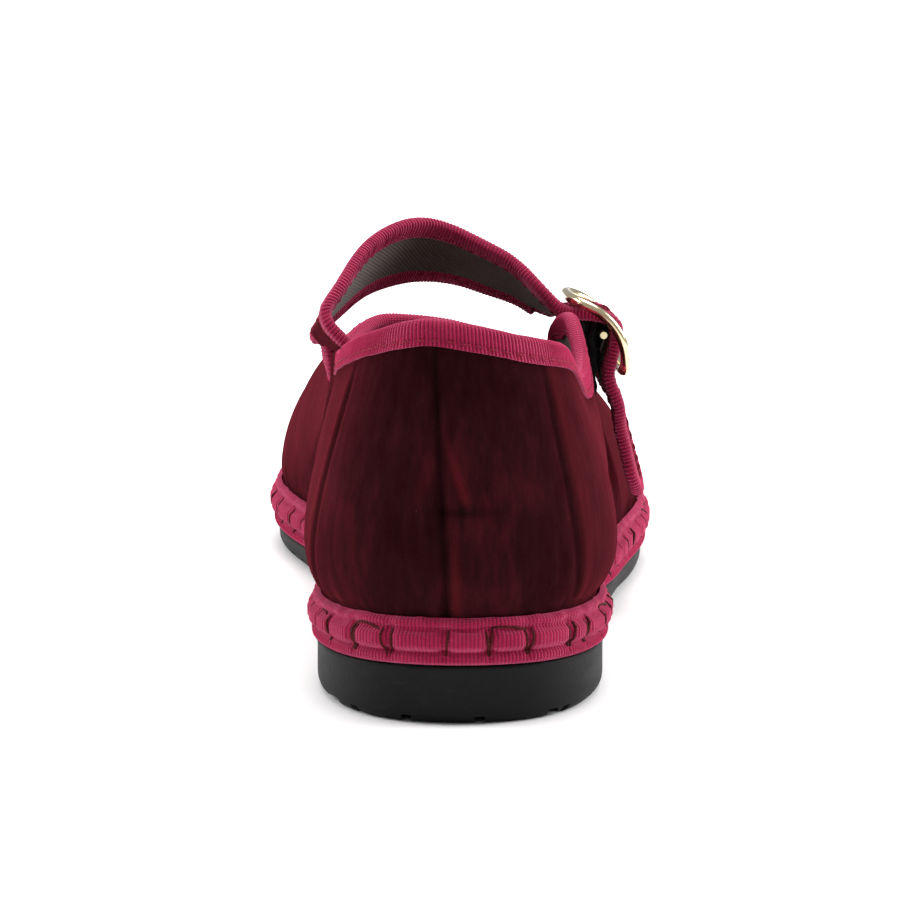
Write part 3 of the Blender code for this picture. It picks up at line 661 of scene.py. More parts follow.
class Recipe:
    """The nodes of one material."""

    def __init__(self, name):
        self.material = bpy.data.materials.new("look_" + name)
        self.material.use_nodes = True
        self.tree = self.material.node_tree
        self.shader = self.tree.nodes["Principled BSDF"]
        self.coordinate = self.node("ShaderNodeTexCoord")
        self.where = self.coordinate.outputs["Object"]

    def node(self, kind, inputs=None, **settings):
        """A new node with its settings, values and links."""
        made = self.tree.nodes.new(kind)
        for key, value in settings.items():
            setattr(made, key, value)
        for key, value in (inputs or {}).items():
            self.feed(made.inputs[key], value)
        return made

    def feed(self, socket, value):
        """Give a socket a value or a link."""
        if isinstance(value, bpy.types.NodeSocket):
            self.tree.links.new(value, socket)
        else:
            socket.default_value = value

    def maths(self, operation, first, second=0.0):
        """A Math node's result."""
        return self.node("ShaderNodeMath", {0: first, 1: second}, operation=operation).outputs[0]

    def times(self, first, second):
        """One value times another."""
        return self.maths("MULTIPLY", first, second)

    def plus(self, first, second):
        """Two values added."""
        return self.maths("ADD", first, second)

    def wave(self, value, pitch, kind="SINE"):
        """A wave that repeats at a pitch."""
        return self.maths(kind, self.times(value, 2 * math.pi / pitch))

    def cloth(self):
        """The cloth's own coordinates, along and across."""
        parts = self.node("ShaderNodeSeparateXYZ", {0: self.coordinate.outputs["UV"]})
        return parts.outputs[0], parts.outputs[1]

    def stretched(self, scale, turn=(0.0, 0.0, 0.0)):
        """The shoe's coordinates turned and stretched."""
        return self.node("ShaderNodeMapping", {
            "Vector": self.where, "Rotation": turn, "Scale": scale}).outputs[0]

    def ramp(self, value, *stops):
        """A colour ramp with stops of position and colour."""
        node = self.node("ShaderNodeValToRGB", {0: value})
        band = node.color_ramp
        while len(band.elements) < len(stops):
            band.elements.new(0.5)
        for element, (spot, colour) in zip(band.elements, stops):
            element.position = spot
            element.color = (*colour[:3], 1.0)
        return node.outputs[0]

    def climb(self, value, low, high, top=1.0):
        """A share that climbs from nothing at one value to its top at another."""
        return self.ramp(value, (low, (0.0,) * 3), (high, (top,) * 3))

    def mix(self, share, first, second):
        """Two colours mixed."""
        return self.node("ShaderNodeMix", {0: share, 6: first, 7: second}, data_type="RGBA").outputs[2]

    def grain(self, scale, detail=2.0, roughness=0.6, where=None):
        """Noise at a scale."""
        return self.node("ShaderNodeTexNoise", {
            "Vector": where or self.where, "Scale": scale, "Detail": detail, "Roughness": roughness,
        }).outputs[0]

    def relief(self, *layers):
        """Layers of relief, one over the other, each of heights, a distance and a strength."""
        normal = None
        for height, distance, strength in layers:
            made = self.node("ShaderNodeBump", {
                "Height": height, "Distance": distance, "Strength": strength})
            if normal:
                self.feed(made.inputs["Normal"], normal)
            normal = made.outputs[0]
        return normal

    def set(self, **values):
        """Values or links of the shader's own sockets, with spaces for underscores."""
        for key, value in values.items():
            self.feed(self.shader.inputs[key.replace("_", " ")], value)
        return self.material


def velvet_material(r, look):
    """Short burgundy pile: brushed patches, fine nap and a few faint lint specks, with painted
    highlights and painted shade laid on from the piece's values.
    """
    patches = r.grain(38.0, 3.0, 0.55)
    streaks = r.grain(420.0, 3.0, where=r.stretched((1.0, 1.0, 0.22)))
    nap_and_painted_light = r.grain(3400.0)
    light = tint(look.velvet, 2.7, 1.5, 1.7)
    tone = r.plus(r.times(patches, 0.55), r.times(streaks, 0.45))
    shade = r.ramp(tone, (0.34, tint(look.velvet, 0.40)), (0.50, look.velvet), (0.66, light))
    shade = r.mix(r.times(nap_and_painted_light, 0.35), shade, light)
    # Painted light: above zero the pile turns towards a bright red painted highlight, below zero it
    # sinks to near black painted shade in the seams, counter lines and dimple.
    painted_light_mask = r.node("ShaderNodeAttribute", attribute_name="nap_and_painted_light").outputs["Fac"]
    painted_highlight = r.times(r.maths("MAXIMUM", painted_light_mask, 0.0), 0.9)
    painted_shade = r.times(r.maths("MINIMUM", painted_light_mask, 0.0), -0.85)
    shade = r.mix(painted_highlight, shade, tint(look.velvet, 5.5, 1.9, 2.3))
    shade = r.mix(painted_shade, shade, (0.001, 0.001, 0.001, 1.0))
    specks = r.node("ShaderNodeTexVoronoi", {"Vector": r.where, "Scale": 115.0, "Randomness": 1.0})
    chance = r.node("ShaderNodeSeparateColor", {0: specks.outputs["Color"]}).outputs[0]
    lint = r.times(r.maths("GREATER_THAN", chance, 0.90),
                   r.maths("LESS_THAN", specks.outputs["Distance"], 0.020))
    shade = r.mix(r.times(lint, 0.20), shade, (0.26, 0.15, 0.15, 1.0))
    relief = r.relief((patches, 0.0012, 0.35), (streaks, 0.00025, 0.45), (nap_and_painted_light, 0.00012, 0.55))
    return r.set(Base_Color=shade, Roughness=0.92, Normal=relief, Sheen_Weight=look.sheen,
                 Sheen_Roughness=0.38, Sheen_Tint=tint(look.sheen_tint, 1.0), Specular_IOR_Level=0.0)


def grosgrain_material(r, look):
    """Ribbed tape: the cloth's first coordinate counts ribs, the second runs across in metres; the
    troughs between the ribs carry painted shade.
    """
    rib, across = r.cloth()
    ridge = r.plus(r.times(r.wave(rib, 1.0, "COSINE"), 0.5), 0.5)
    wide = r.grain(90.0, 3.0)
    fine = r.grain(2600.0)
    pale = (look.tape[0] * 1.30, look.tape[1] * 2.4 + 0.01, look.tape[2] * 1.6, 1.0)
    # Painted shade: the tape colour darkens to 0.42 of itself in the troughs between the ribs.
    shade = r.mix(r.climb(ridge, 0.05, 0.55), tint(look.tape, 0.42), tint(look.tape, 1.0))
    worn = r.maths("MAXIMUM", r.maths("SUBTRACT", wide, 0.48), 0.0)
    shade = r.mix(r.times(worn, 1.3), shade, pale)
    shade = r.mix(r.times(fine, 0.20), shade, pale)
    relief = r.relief((ridge, 0.00016, 0.55), (r.wave(across, 0.00042), 0.00007, 0.6),
                      (fine, 0.00006, 0.5))
    return r.set(Base_Color=shade, Roughness=0.72, Normal=relief, Sheen_Weight=0.75,
                 Sheen_Roughness=0.40, Sheen_Tint=(0.95, 0.26, 0.45, 1.0), Specular_IOR_Level=0.10)


def twill_material(r, look):
    """Dark twill with slanting ribs, on the cloth's own coordinates in metres."""
    along, across = r.cloth()
    slant = r.wave(r.plus(along, r.times(across, 1.15)), 0.00115)
    ridge = r.plus(r.plus(r.times(slant, 0.4), r.times(r.wave(across, 0.0006), 0.1)), 0.5)
    shade = r.ramp(ridge, (0.1, tint(look.lining, 0.45)), (0.9, tint(look.lining, 1.7)))
    shade = r.mix(r.times(r.grain(60.0, 2.0, 0.5), 0.4), shade, tint(look.lining, 0.8))
    relief = r.relief((ridge, 0.00018, 0.6), (r.grain(1800.0, 3.0), 0.00008, 0.5))
    return r.set(Base_Color=shade, Roughness=0.85, Normal=relief, Sheen_Weight=0.2,
                 Sheen_Roughness=0.5, Specular_IOR_Level=0.2)


def rubber_material(r, look):
    """Matte black rubber with fine moulded grain and faint dusty smears."""
    grain = r.grain(1500.0, 4.0, 0.65)
    pebbles = r.node("ShaderNodeTexVoronoi", {"Vector": r.where, "Scale": 1300.0}).outputs["Distance"]
    smears = r.grain(120.0, 4.0, where=r.stretched((1.0, 0.3, 2.2)))
    shade = r.mix(r.climb(smears, 0.55, 0.80, 0.22), tint(look.rubber, 1.0), (0.060, 0.055, 0.052, 1.0))
    shade = r.mix(r.times(grain, 0.25), shade, (0.016, 0.0155, 0.016, 1.0))
    rough = r.plus(r.times(smears, 0.22), 0.48)
    relief = r.relief((pebbles, 0.00008, 0.35), (grain, 0.00010, 0.4))
    return r.set(Base_Color=shade, Roughness=rough, Normal=relief, Specular_IOR_Level=0.12)


def brass_material(r, look):
    """Pale polished metal with hairline scratches and slightly dull patches."""
    patches = r.grain(160.0, 3.0)
    hairs = r.grain(900.0, where=r.stretched((1.0, 14.0, 1.0), (0.3, 0.9, 0.2)))
    shade = r.mix(r.climb(patches, 0.45, 0.75, 0.7), tint(look.brass, 1.0), tint(look.brass, 0.72))
    rough = r.plus(r.times(patches, 0.16), 0.10)
    relief = r.relief((hairs, 0.00003, 0.25))
    return r.set(Base_Color=shade, Roughness=rough, Metallic=1.0, Normal=relief)


def elastic_material(r, look):
    """Black woven elastic: cords lengthwise, close ribs across."""
    along, across = r.cloth()
    weave = r.plus(r.times(r.wave(across, 0.0011), 0.3), r.times(r.wave(along, 0.0006), 0.2))
    weave = r.plus(weave, 0.5)
    shade = r.ramp(weave, (0.1, tint(look.elastic, 0.5)), (0.9, tint(look.elastic, 2.2)))
    relief = r.relief((weave, 0.00015, 0.7), (r.grain(2400.0), 0.00008, 0.5))
    return r.set(Base_Color=shade, Roughness=0.8, Normal=relief, Sheen_Weight=0.15,
                 Specular_IOR_Level=0.25)


def thread_material(r, colour):
    """Twisted sewing thread: slanting plies on the thread's own coordinates."""
    along, round_about = r.cloth()
    ply = r.plus(r.times(r.wave(r.plus(along, round_about), 1.0), 0.5), 0.5)
    shade = r.ramp(ply, (0.1, tint(colour, 0.5)), (0.7, colour))
    shade = r.mix(r.times(r.grain(3000.0), 0.3), shade, tint(colour, 1.6))
    return r.set(Base_Color=shade, Roughness=0.75, Normal=r.relief((ply, 0.00012, 0.7)),
                 Specular_IOR_Level=0.2)


def floor_material(r, look):
    """Plain pale paper."""
    shade = r.mix(r.times(r.grain(30.0, 3.0, 0.5), 0.1), tint(look.floor, 1.0), (0.90, 0.90, 0.90, 1.0))
    return r.set(Base_Color=shade, Roughness=0.95, Specular_IOR_Level=0.1)


MATERIAL_MAKERS = {
    "burgundy_velvet": lambda r, scene: velvet_material(r, scene.shoe_look),
    "raspberry_grosgrain": lambda r, scene: grosgrain_material(r, scene.shoe_look),
    "dark_twill": lambda r, scene: twill_material(r, scene.shoe_look),
    "black_rubber": lambda r, scene: rubber_material(r, scene.shoe_look),
    "pale_brass": lambda r, scene: brass_material(r, scene.shoe_look),
    "black_elastic": lambda r, scene: elastic_material(r, scene.shoe_look),
    "whip_thread": lambda r, scene: thread_material(r, scene.shoe_look.whip_thread),
    "seam_thread": lambda r, scene: thread_material(r, scene.shoe_look.seam_thread),
    "pale_floor": lambda r, scene: floor_material(r, scene.stage_look),
}


def material(name):
    """The material of that name, made from the look's colours at its first use."""
    found = bpy.data.materials.get("look_" + name)
    return found or MATERIAL_MAKERS[name](Recipe(name), bpy.context.scene)


# Pieces

def stitch_places(look):
    """Hand-set distances of the whip stitches round the band."""
    count = round(FORM.girth / look.stitch_pitch)
    chance = np.random.default_rng(4)
    return (np.arange(count) + 0.5 + chance.uniform(-0.17, 0.17, count)) * FORM.girth / count


def stitch_distance(runs, look):
    """Distance from each place to its nearest whip stitch."""
    stitches = stitch_places(look)
    around = np.concatenate([[stitches[-1] - FORM.girth], stitches, [stitches[0] + FORM.girth]])
    middles = (around[1:] + around[:-1]) / 2
    return np.mod(runs, FORM.girth) - around[np.searchsorted(middles, np.mod(runs, FORM.girth))]


def counter_distances(around, height):
    """Distances past the edges of the heel counter, outer and inner, which spread downwards."""
    fall = np.clip((COLLAR_HEIGHT - 0.010 - height) / 0.055, 0, 1)
    outer = around - (COUNTER_OUTER + 0.0010 * fall + 0.0050 * fall**3)
    inner = -around - (COUNTER_INNER + 0.0010 * fall + 0.0045 * fall**3)
    return outer, inner


def upper_relief(points, runs, look):
    """How far each point of the velvet stands out."""
    around = np.where(runs > FORM.girth / 2, runs - FORM.girth, runs)[:, None]
    height = points[..., 2]
    flat = points.reshape(-1, 3)
    soft = cloud(flat, 28.0, 1).reshape(height.shape) * PILE_SWELL
    soft += cloud(flat, 75.0, 2).reshape(height.shape) * PILE_RIPPLE
    back = around - SEAM_SHIFT
    seam = -SEAM_GROOVE * hill(back, 0.0009) + SEAM_LIPS * hill(np.abs(back) - 0.0030, 0.0018)
    dimple_up = height - DIMPLE_HEIGHT
    dimple = -DIMPLE_DEPTH * hill(back - 0.0006, 0.0022) * hill(dimple_up, 0.0040)
    dimple += DIMPLE_RIM * hill(back - 0.0045, 0.0022) * hill(dimple_up + 0.001, 0.0060)
    outer, inner = counter_distances(around, height)
    lines = -COUNTER_GROOVE * (hill(outer, 0.0009) + hill(inner, 0.0010))
    lines += COUNTER_LIP * (hill(outer - 0.0022, 0.0016) + hill(inner - 0.0024, 0.0018))
    fade = np.clip((height - COUNTER_FOOT) / 0.008, 0, 1)
    rise_off = height - 0.03
    folds = 0.0011 * hill(around + 0.145 - rise_off * 0.7, 0.0060)
    folds -= 0.0009 * hill(around + 0.157 - rise_off * 0.6, 0.0050)
    folds += 0.0007 * hill(around - 0.140 + rise_off * 0.5, 0.0070)
    wave = 1 - 2 * hill(stitch_distance(runs, look)[:, None], 0.0022)
    along = FORM.along(np.interp(runs, FORM.runs, FORM.dense))
    rise = np.clip(height - (sole_top(along) + BAND_HEIGHT)[:, None], 0, None)
    puckers = PUCKER * wave * np.exp(-rise / 0.0045) - 0.0005 * np.exp(-rise / 0.0012)
    return soft + seam + dimple + lines * fade + folds + puckers


def upper_painted_light(points, runs):
    """Painted light on the velvet at each point: painted shade below zero along the back seam, the
    counter lines and the dimple, painted highlights above zero beside them.
    """
    around = np.where(runs > FORM.girth / 2, runs - FORM.girth, runs)[:, None]
    height = points[..., 2]
    back = around - SEAM_SHIFT
    outer, inner = counter_distances(around, height)
    fade = np.clip((height - COUNTER_FOOT) / 0.008, 0, 1)
    # Painted shade in the back seam and the counter lines.
    nap_and_painted_light = -0.65 * hill(back, 0.0008) - 0.55 * (hill(outer, 0.0007) + hill(inner, 0.0008)) * fade
    # Painted highlights beside the counter lines and along the back seam.
    nap_and_painted_light += 0.28 * (hill(outer - 0.0040, 0.0040) + hill(inner - 0.0040, 0.0040))
    nap_and_painted_light += 0.80 * hill(back - 0.0022 - 0.25 * (0.060 - height), 0.0011) * hill(height - 0.0525, 0.0075)
    nap_and_painted_light += 0.55 * hill(back - 0.0022, 0.0011) * hill(height - 0.030, 0.0110)
    nap_and_painted_light += 0.25 * hill(back + 0.0042 - 0.30 * (height - 0.050), 0.0018) * hill(height - 0.0530, 0.0070)
    # Painted shade across the dimple.
    return nap_and_painted_light - 0.8 * hill(back - 0.0050, 0.0060) * hill(height - DIMPLE_HEIGHT, 0.0011)


def make_upper(look):
    """Velvet outside, twill inside, one closed wall from the sole to inside the tape."""
    places, runs = FORM.round_places(UPPER_COLUMNS)
    start, end = FORM.root_span()[:2]
    lengths = np.array([lengths_along(rib)[-1] for rib in FORM.ribs(places)])
    wrapped = np.mod(places, FORM.turn)
    edge = np.where((wrapped > start) & (wrapped < end), 0.0004, TAPE_WIDTH * 0.45)
    wrapped_edge = np.concatenate([edge[-6:], edge, edge[:6]])
    edge = np.convolve(wrapped_edge, np.ones(9) / 9, "same")[6:-6][:, None]
    from_top = edge + (lengths[:, None] - edge) * np.linspace(1, 0, UPPER_ROWS)
    points, out = FORM.upper_face(places, from_top)
    clear = np.clip((from_top - TAPE_WIDTH) / 0.006, 0, 1)
    relief = upper_relief(points, runs, look) * clear - 0.0001 * (1 - clear)
    outer = points + out * relief[..., None]
    inner = points - out * WALL
    seat = sole_top(FORM.along(places)) + GAP
    skirt = FORM.ring(places, -BAND_INSET - GAP - 0.0002, seat)[:, None]
    skirt_in = FORM.ring(places, -BAND_INSET - GAP - WALL, seat)[:, None]
    rim = (outer[:, -1:] + inner[:, -1:]) / 2 + (outer[:, -1:] - outer[:, -2:-1]) * 0.25
    grid = np.concatenate([skirt, outer, rim, inner[:, ::-1], skirt_in, skirt], axis=1)
    grid[-1] = grid[0]
    slots = [0 if j <= UPPER_ROWS else 1 for j in range(grid.shape[1])]
    # Painted highlights and painted shade on the velvet's outer face only.
    nap_and_painted_light = np.zeros(grid.shape[:2])
    nap_and_painted_light[:, 1:UPPER_ROWS + 1] = upper_painted_light(points, runs)
    nap_and_painted_light[-1] = nap_and_painted_light[0]
    grid_piece("velvet_upper", "burgundy_velvet", ("upper",), grid, runs, lengths_along(grid[0]),
               slots, nap_and_painted_light)


def tape_section(width, thickness, steps):
    """Half thickness of folded tape at distances from its fold, hollow where the seam runs."""
    half = thickness / 2
    drops = width * (1 - np.cos(np.linspace(0, math.pi / 2, steps)))
    fold = np.sqrt(np.clip(1 - (1 - np.clip(drops / half, 0, 1)) ** 2, 0, 1))
    hem = 1 - 0.10 * hill(drops - width * TAPE_SEAM, width * 0.07)
    hem = hem + 0.05 * hill(drops - width * 0.93, width * 0.05)
    return drops, half * fold * hem


def seam_stitches(name, length, radius, look, stitch_at):
    """A row of machine stitches on each face of a tape, placed by a function."""
    paths = []
    for face in (1.0, -1.0):
        for k in range(int(length / look.seam_pitch)):
            paths.append(stitch_at((k + np.linspace(0.14, 0.80, 5)) * look.seam_pitch, face))
    thread_piece(name, paths, radius, 5, "seam_thread", "raspberry_grosgrain")


def edge_tape(name, node, first, last, peak_last, look):
    """Folded tape on the upper's edge, with ribs, a hollow along its stitches and a wavy hem."""
    length = lengths_along(FORM.ribs(np.linspace(first, last, 400), 2)[:, -1])[-1]
    ribs = round(length / look.tape_rib)
    places, runs = FORM.edge_places(first, last, ribs * 4 + 1)
    drops, halves = tape_section(TAPE_WIDTH, TAPE_THICKNESS, 12)
    side = np.concatenate([drops[::-1], drops[1:]])
    half = np.concatenate([halves[::-1], halves[1:]])
    sign = np.where(np.arange(len(side)) < len(drops), 1.0, -1.0)
    from_peak = runs[-1] - runs if peak_last else runs
    narrowing = 1 - PEAK_NARROWING * hill(from_peak - 0.012, 0.009)
    hem = (0.07 * cloud_line(runs, 95.0, 5) + narrowing)[:, None]
    from_top = side * hem - 0.00015 * cloud_line(runs, 240.0, 6)[:, None]
    points, out = FORM.upper_face(places, np.clip(from_top, 0.0, None))
    rib = np.cos(2 * math.pi * ribs * runs / runs[-1])[:, None]
    seam = side - TAPE_WIDTH * TAPE_SEAM
    pull = np.cos(2 * math.pi * runs / look.seam_pitch)[:, None] * hill(seam, 0.0007)
    lift = half + look.rib_height * rib * (half > TAPE_THICKNESS * 0.15)
    lift = lift - SEAM_HOLLOW * (1 + pull) * hill(seam, 0.0008)
    grid = points + out * (sign * lift - WALL / 2)[..., None]
    grid = np.concatenate([grid, grid[:, :1]], axis=1)
    grid_piece(name, "raspberry_grosgrain", (node,), grid, runs / runs[-1] * ribs,
               lengths_along(grid[len(grid) // 2]))

    def stitch_at(at, face):
        """Path of one stitch on a face of the tape, and its outward directions."""
        down = TAPE_WIDTH * TAPE_SEAM * np.interp(at, runs, narrowing)
        spots, outs = FORM.upper_face(np.interp(at, runs, places), down[:, None])
        lift = face * (TAPE_THICKNESS / 2 * 0.93 + STITCH_ARCH - 0.00012) - WALL / 2
        return spots[:, 0] + outs[:, 0] * lift[:, None], outs[:, 0] * face

    seam_stitches(name + "_stitches", length, 0.00026, look, stitch_at)


def make_edge_tapes(look):
    """Throat tape in front of the outer peak and collar tape behind it."""
    start, end, peak = FORM.root_span()
    edge_tape("throat_tape", "throat_binding", peak, start + 0.0012, False, look)
    edge_tape("collar_tape", "collar_binding", end - 0.0012, peak + FORM.turn, True, look)


def make_corner_tape(look):
    """Short tape that turns the corner from the throat to the strap's front edge."""
    low_place = np.array([FORM.root_span()[0] + 0.0006])
    low, low_out = FORM.upper_face(low_place, np.full((1, 1), TAPE_WIDTH * 0.47))
    high_place = np.array([0.0020])
    high = STRAP.points(high_place, STRAP.half_width(high_place) - STRAP_TAPE_WIDTH / 2, 0.0)[0]
    high_out = STRAP.frames(high_place)[2][0]
    foot = low[0, 0] - low_out[0, 0] * WALL / 2
    corner = np.array([(foot[0] + high[0]) / 2, high[1] - 0.0005, foot[2] + 0.0005])
    t = np.linspace(0, 1, 49)[:, None]
    path = (1 - t) ** 2 * foot + 2 * t * (1 - t) * corner + t**2 * high
    tangents = unit(np.gradient(path, axis=0))
    across = unit(np.cross(unit(low_out[0, 0] * (1 - t) + high_out * t), tangents))
    runs = lengths_along(path)
    rib = look.rib_height * np.cos(2 * math.pi * runs / look.tape_rib)[:, None]
    angles = np.linspace(0, 2 * math.pi, 21)
    out, lift = rounded(angles, *TAPE_ROUNDING)
    wide = (TAPE_WIDTH * 0.49 * (1 - t) + STRAP_TAPE_WIDTH * 0.5 * t + rib) * out
    thick = ((TAPE_THICKNESS * (1 - t) + STRAP_TAPE_THICKNESS * t) * 0.49 + rib) * lift
    grid = tube_points(path, across, np.cross(tangents, across), wide, thick)
    grid_piece("corner_tape", "raspberry_grosgrain", (), grid, runs / look.tape_rib,
               angles / (2 * math.pi) * TAPE_GIRTH)


def band_face(look, runs, shares):
    """How far the band's face stands out at distances round it and shares of its height."""
    steps = np.array(BAND_FACE)
    face = spline(steps[:, 1], steps[:, 0])(shares)[:, 0] * BAND_SWELL
    near = stitch_distance(runs, look)[:, None]
    middle = np.clip((shares - 0.25) / 0.08, 0, 1) * np.clip((0.79 - shares) / 0.06, 0, 1)
    lip = np.clip((shares - 0.76) / 0.05, 0, 1)
    hem = np.clip((0.26 - shares) / 0.04, 0, 1)
    rib = BAND_RIB_HEIGHT * np.cos(2 * math.pi * band_ribs(look) * runs / FORM.girth)[:, None]
    face = face + 0.00030 * middle - STITCH_PINCH * hill(near, 0.0013) * middle
    face = face - 0.00060 * hill(near, 0.0008) * hill(shares - 0.17, 0.05)
    face = face + rib * (0.45 + 0.55 * middle) + rib * hem
    wobble = cloud_ring(runs, 30.0, 3)[:, None]
    return face + lip * (0.00035 * wobble - 0.00040 * hill(near, 0.0018) - 0.0004)


def band_ribs(look):
    """Whole number of ribs round the band."""
    return round(FORM.girth / look.band_rib)


def make_band(look):
    """Sewn band: beaded hem, puffed ribbed middle pulled in by each stitch, folded lip on top."""
    places, runs = FORM.round_places(band_ribs(look) * 3)
    shares = np.concatenate([np.linspace(*rows) for rows in BAND_ROWS])
    face = band_face(look, runs, shares)
    base = sole_top(FORM.along(places)) + GAP
    wave = 1 - 2 * hill(stitch_distance(runs, look), 0.0024)
    uneven = cloud_ring(runs, 22.0, 4)
    grid = []
    for k, share in enumerate(shares):
        lip = np.clip((share - 0.72) / 0.2, 0, 1)
        fold = hill(share - 0.76, 0.05)
        height = base + BAND_HEIGHT * share + lip * 0.00045 * uneven - fold * 0.00035 * wave
        grid.append(FORM.ring(places, face[:, k], height))
    grid.append(FORM.ring(places, -BAND_INSET, base + BAND_HEIGHT))
    grid.append(FORM.ring(places, -BAND_INSET, base))
    grid = np.stack(grid + grid[:1], axis=1)
    grid[-1] = grid[0]
    grid_piece("sewn_band", "raspberry_grosgrain", ("foxing_band",), grid,
               runs / FORM.girth * band_ribs(look), lengths_along(grid[0]))


def band_thread(look, runs, shares, rise):
    """Path of a thread on the band's face, and the outward directions along it."""
    places = np.interp(np.mod(runs, FORM.girth), FORM.runs, FORM.dense)
    face = [band_face(look, runs[i:i + 1], shares[i:i + 1])[0, 0] for i in range(len(runs))]
    height = sole_top(FORM.along(places)) + GAP + BAND_HEIGHT * shares
    outs = np.column_stack([FORM.outline(places)[1], np.zeros(len(runs))])
    return FORM.ring(places, np.array(face) + rise, height), outs


def make_whip_stitches(look):
    """Hand stitches over the band's middle, often in pairs, with loose runs between some."""
    stitches = stitch_places(look)
    follow = np.append(stitches[1:], stitches[0] + FORM.girth)
    chance = np.random.default_rng(11)
    paths = []
    for stitch, after in zip(stitches, follow):
        foot = chance.uniform(-0.0004, 0.0004)
        lean = chance.uniform(-0.0009, 0.0009)
        spread = chance.uniform(0.0004, 0.0010)
        twins = (-1, 1) if chance.uniform() < TWIN_CHANCE else (0,)
        low = chance.uniform(0.13, 0.20)
        t = np.linspace(0, 1, len(STITCH_SINK))
        for twin in twins:
            runs = stitch + foot + (lean + twin * spread) * t**0.8 + twin * 0.00018
            runs = runs + 0.0004 * chance.uniform(-1, 1) * np.sin(math.pi * t)
            paths.append(band_thread(look, runs, low + (0.80 - low) * t, np.array(STITCH_SINK)))
        if chance.uniform() < LOOSE_RUN_CHANCE:
            t = np.linspace(0, 1, 11)
            runs = stitch + lean + (after - stitch - lean) * t * chance.uniform(0.6, 1.0)
            shares = 0.775 + 0.045 * np.sin(math.pi * t * chance.uniform(0.8, 1.8))
            paths.append(band_thread(look, runs, shares, np.full(11, 0.00012)))
    thread_piece("whip_stitches", paths, 0.00032, 6, "whip_thread", "raspberry_grosgrain")


def tread_cutter(name, blocks):
    """Boxes standing in the floor where the tread is cut away."""
    bm = bmesh.new()
    for (x, y), (width, length) in blocks:
        made = bmesh.ops.create_cube(bm, size=1.0)["verts"]
        bmesh.ops.scale(bm, vec=(width, length, 2 * TREAD_DEPTH), verts=made)
        bmesh.ops.translate(bm, vec=(x + FORM.shift[0], y + FORM.shift[1], 0.0), verts=made)
    return place_object(name, bm)


def make_outsole():
    """Rubber sole with a rounded lower edge, a parting line and a cut tread."""
    places = FORM.round_places(SOLE_COLUMNS)[0][:-1]
    along = FORM.along(places)
    low, seat = sole_bottom(along), sole_top(along)
    rings = []
    for angle in np.linspace(0, math.pi / 2, 7):
        rings.append(FORM.ring(places, -SOLE_EDGE_INSET * (1 - math.sin(angle)),
                               low + SOLE_EDGE_RISE * (1 - math.cos(angle))))
    for offset, drop in SOLE_EDGE:
        rings.append(FORM.ring(places, offset, seat - drop))
    bm = bmesh.new()
    loft_rings(bm, rings)
    for face in bm.faces:
        face.smooth = True
    sole = finish_piece("rubber_sole", bm, "black_rubber", ("outsole",))
    lanes = [((TREAD_SHIFT + TREAD_PITCH * step, SHOE_LENGTH * 0.55), (TREAD_WIDTH, SHOE_LENGTH * 1.1))
             for step in TREAD_LANES]
    lines = [TREAD_PITCH * (step + 0.75) for step in range(int(SHOE_LENGTH / TREAD_PITCH))]
    crossings = [((0.0, y), (BALL_WIDTH * 1.2, TREAD_WIDTH)) for y in lines
                 if not ARCH_SPAN[0] < y / SHOE_LENGTH < ARCH_SPAN[1]]
    cutters = [tread_cutter("tread_lanes", lanes), tread_cutter("tread_crossings", crossings)]
    for cutter in cutters:
        cut = sole.modifiers.new(cutter.name, "BOOLEAN")
        cut.operation = "DIFFERENCE"
        cut.solver = "EXACT"
        cut.object = cutter
    bpy.context.view_layer.update()
    graph = bpy.context.evaluated_depsgraph_get()
    carved = bpy.data.meshes.new_from_object(sole.evaluated_get(graph))
    sole.modifiers.clear()
    sole.data = carved
    for cutter in cutters:
        bpy.data.objects.remove(cutter, do_unlink=True)


def make_insole():
    """Footbed with a soft hollow under heel and ball and a rolled edge."""
    places = FORM.round_places(INSOLE_COLUMNS)[0]
    along = FORM.along(places)
    inset = BAND_INSET + GAP + WALL + 2 * GAP
    base = sole_top(along) + GAP
    rings = [FORM.ring(places, -inset, base)]
    for angle in np.linspace(0, math.pi / 2, 5):
        rings.append(FORM.ring(places, -inset - INSOLE_ROLL * (1 - math.cos(angle)),
                               base + INSOLE_THICKNESS * (0.7 + 0.3 * math.sin(angle))))
    edge = rings[-1]
    middle = along * SHOE_LENGTH * INSOLE_SPINE_SHARE + INSOLE_SPINE_START
    spine = np.column_stack([np.full(len(places), INSOLE_SPINE_SIDE), middle]) + FORM.shift[:2]
    for share in np.linspace(0.08, 1.0, 14):
        plan = edge[:, :2] * (1 - share) + spine * share
        hollow = INSOLE_HOLLOW * math.sin(math.pi * share / 2)
        rings.append(np.column_stack([plan, edge[:, 2] - hollow]))
    grid = np.stack(rings, axis=1)
    grid[-1] = grid[0]
    bm = bmesh.new()
    place_grid(bm, bm.loops.layers.uv.new("cloth"), grid, grid[..., :2])
    bmesh.ops.remove_doubles(bm, verts=bm.verts, dist=0.00005)
    finish_piece("footbed", bm, "dark_twill", ("insole",))


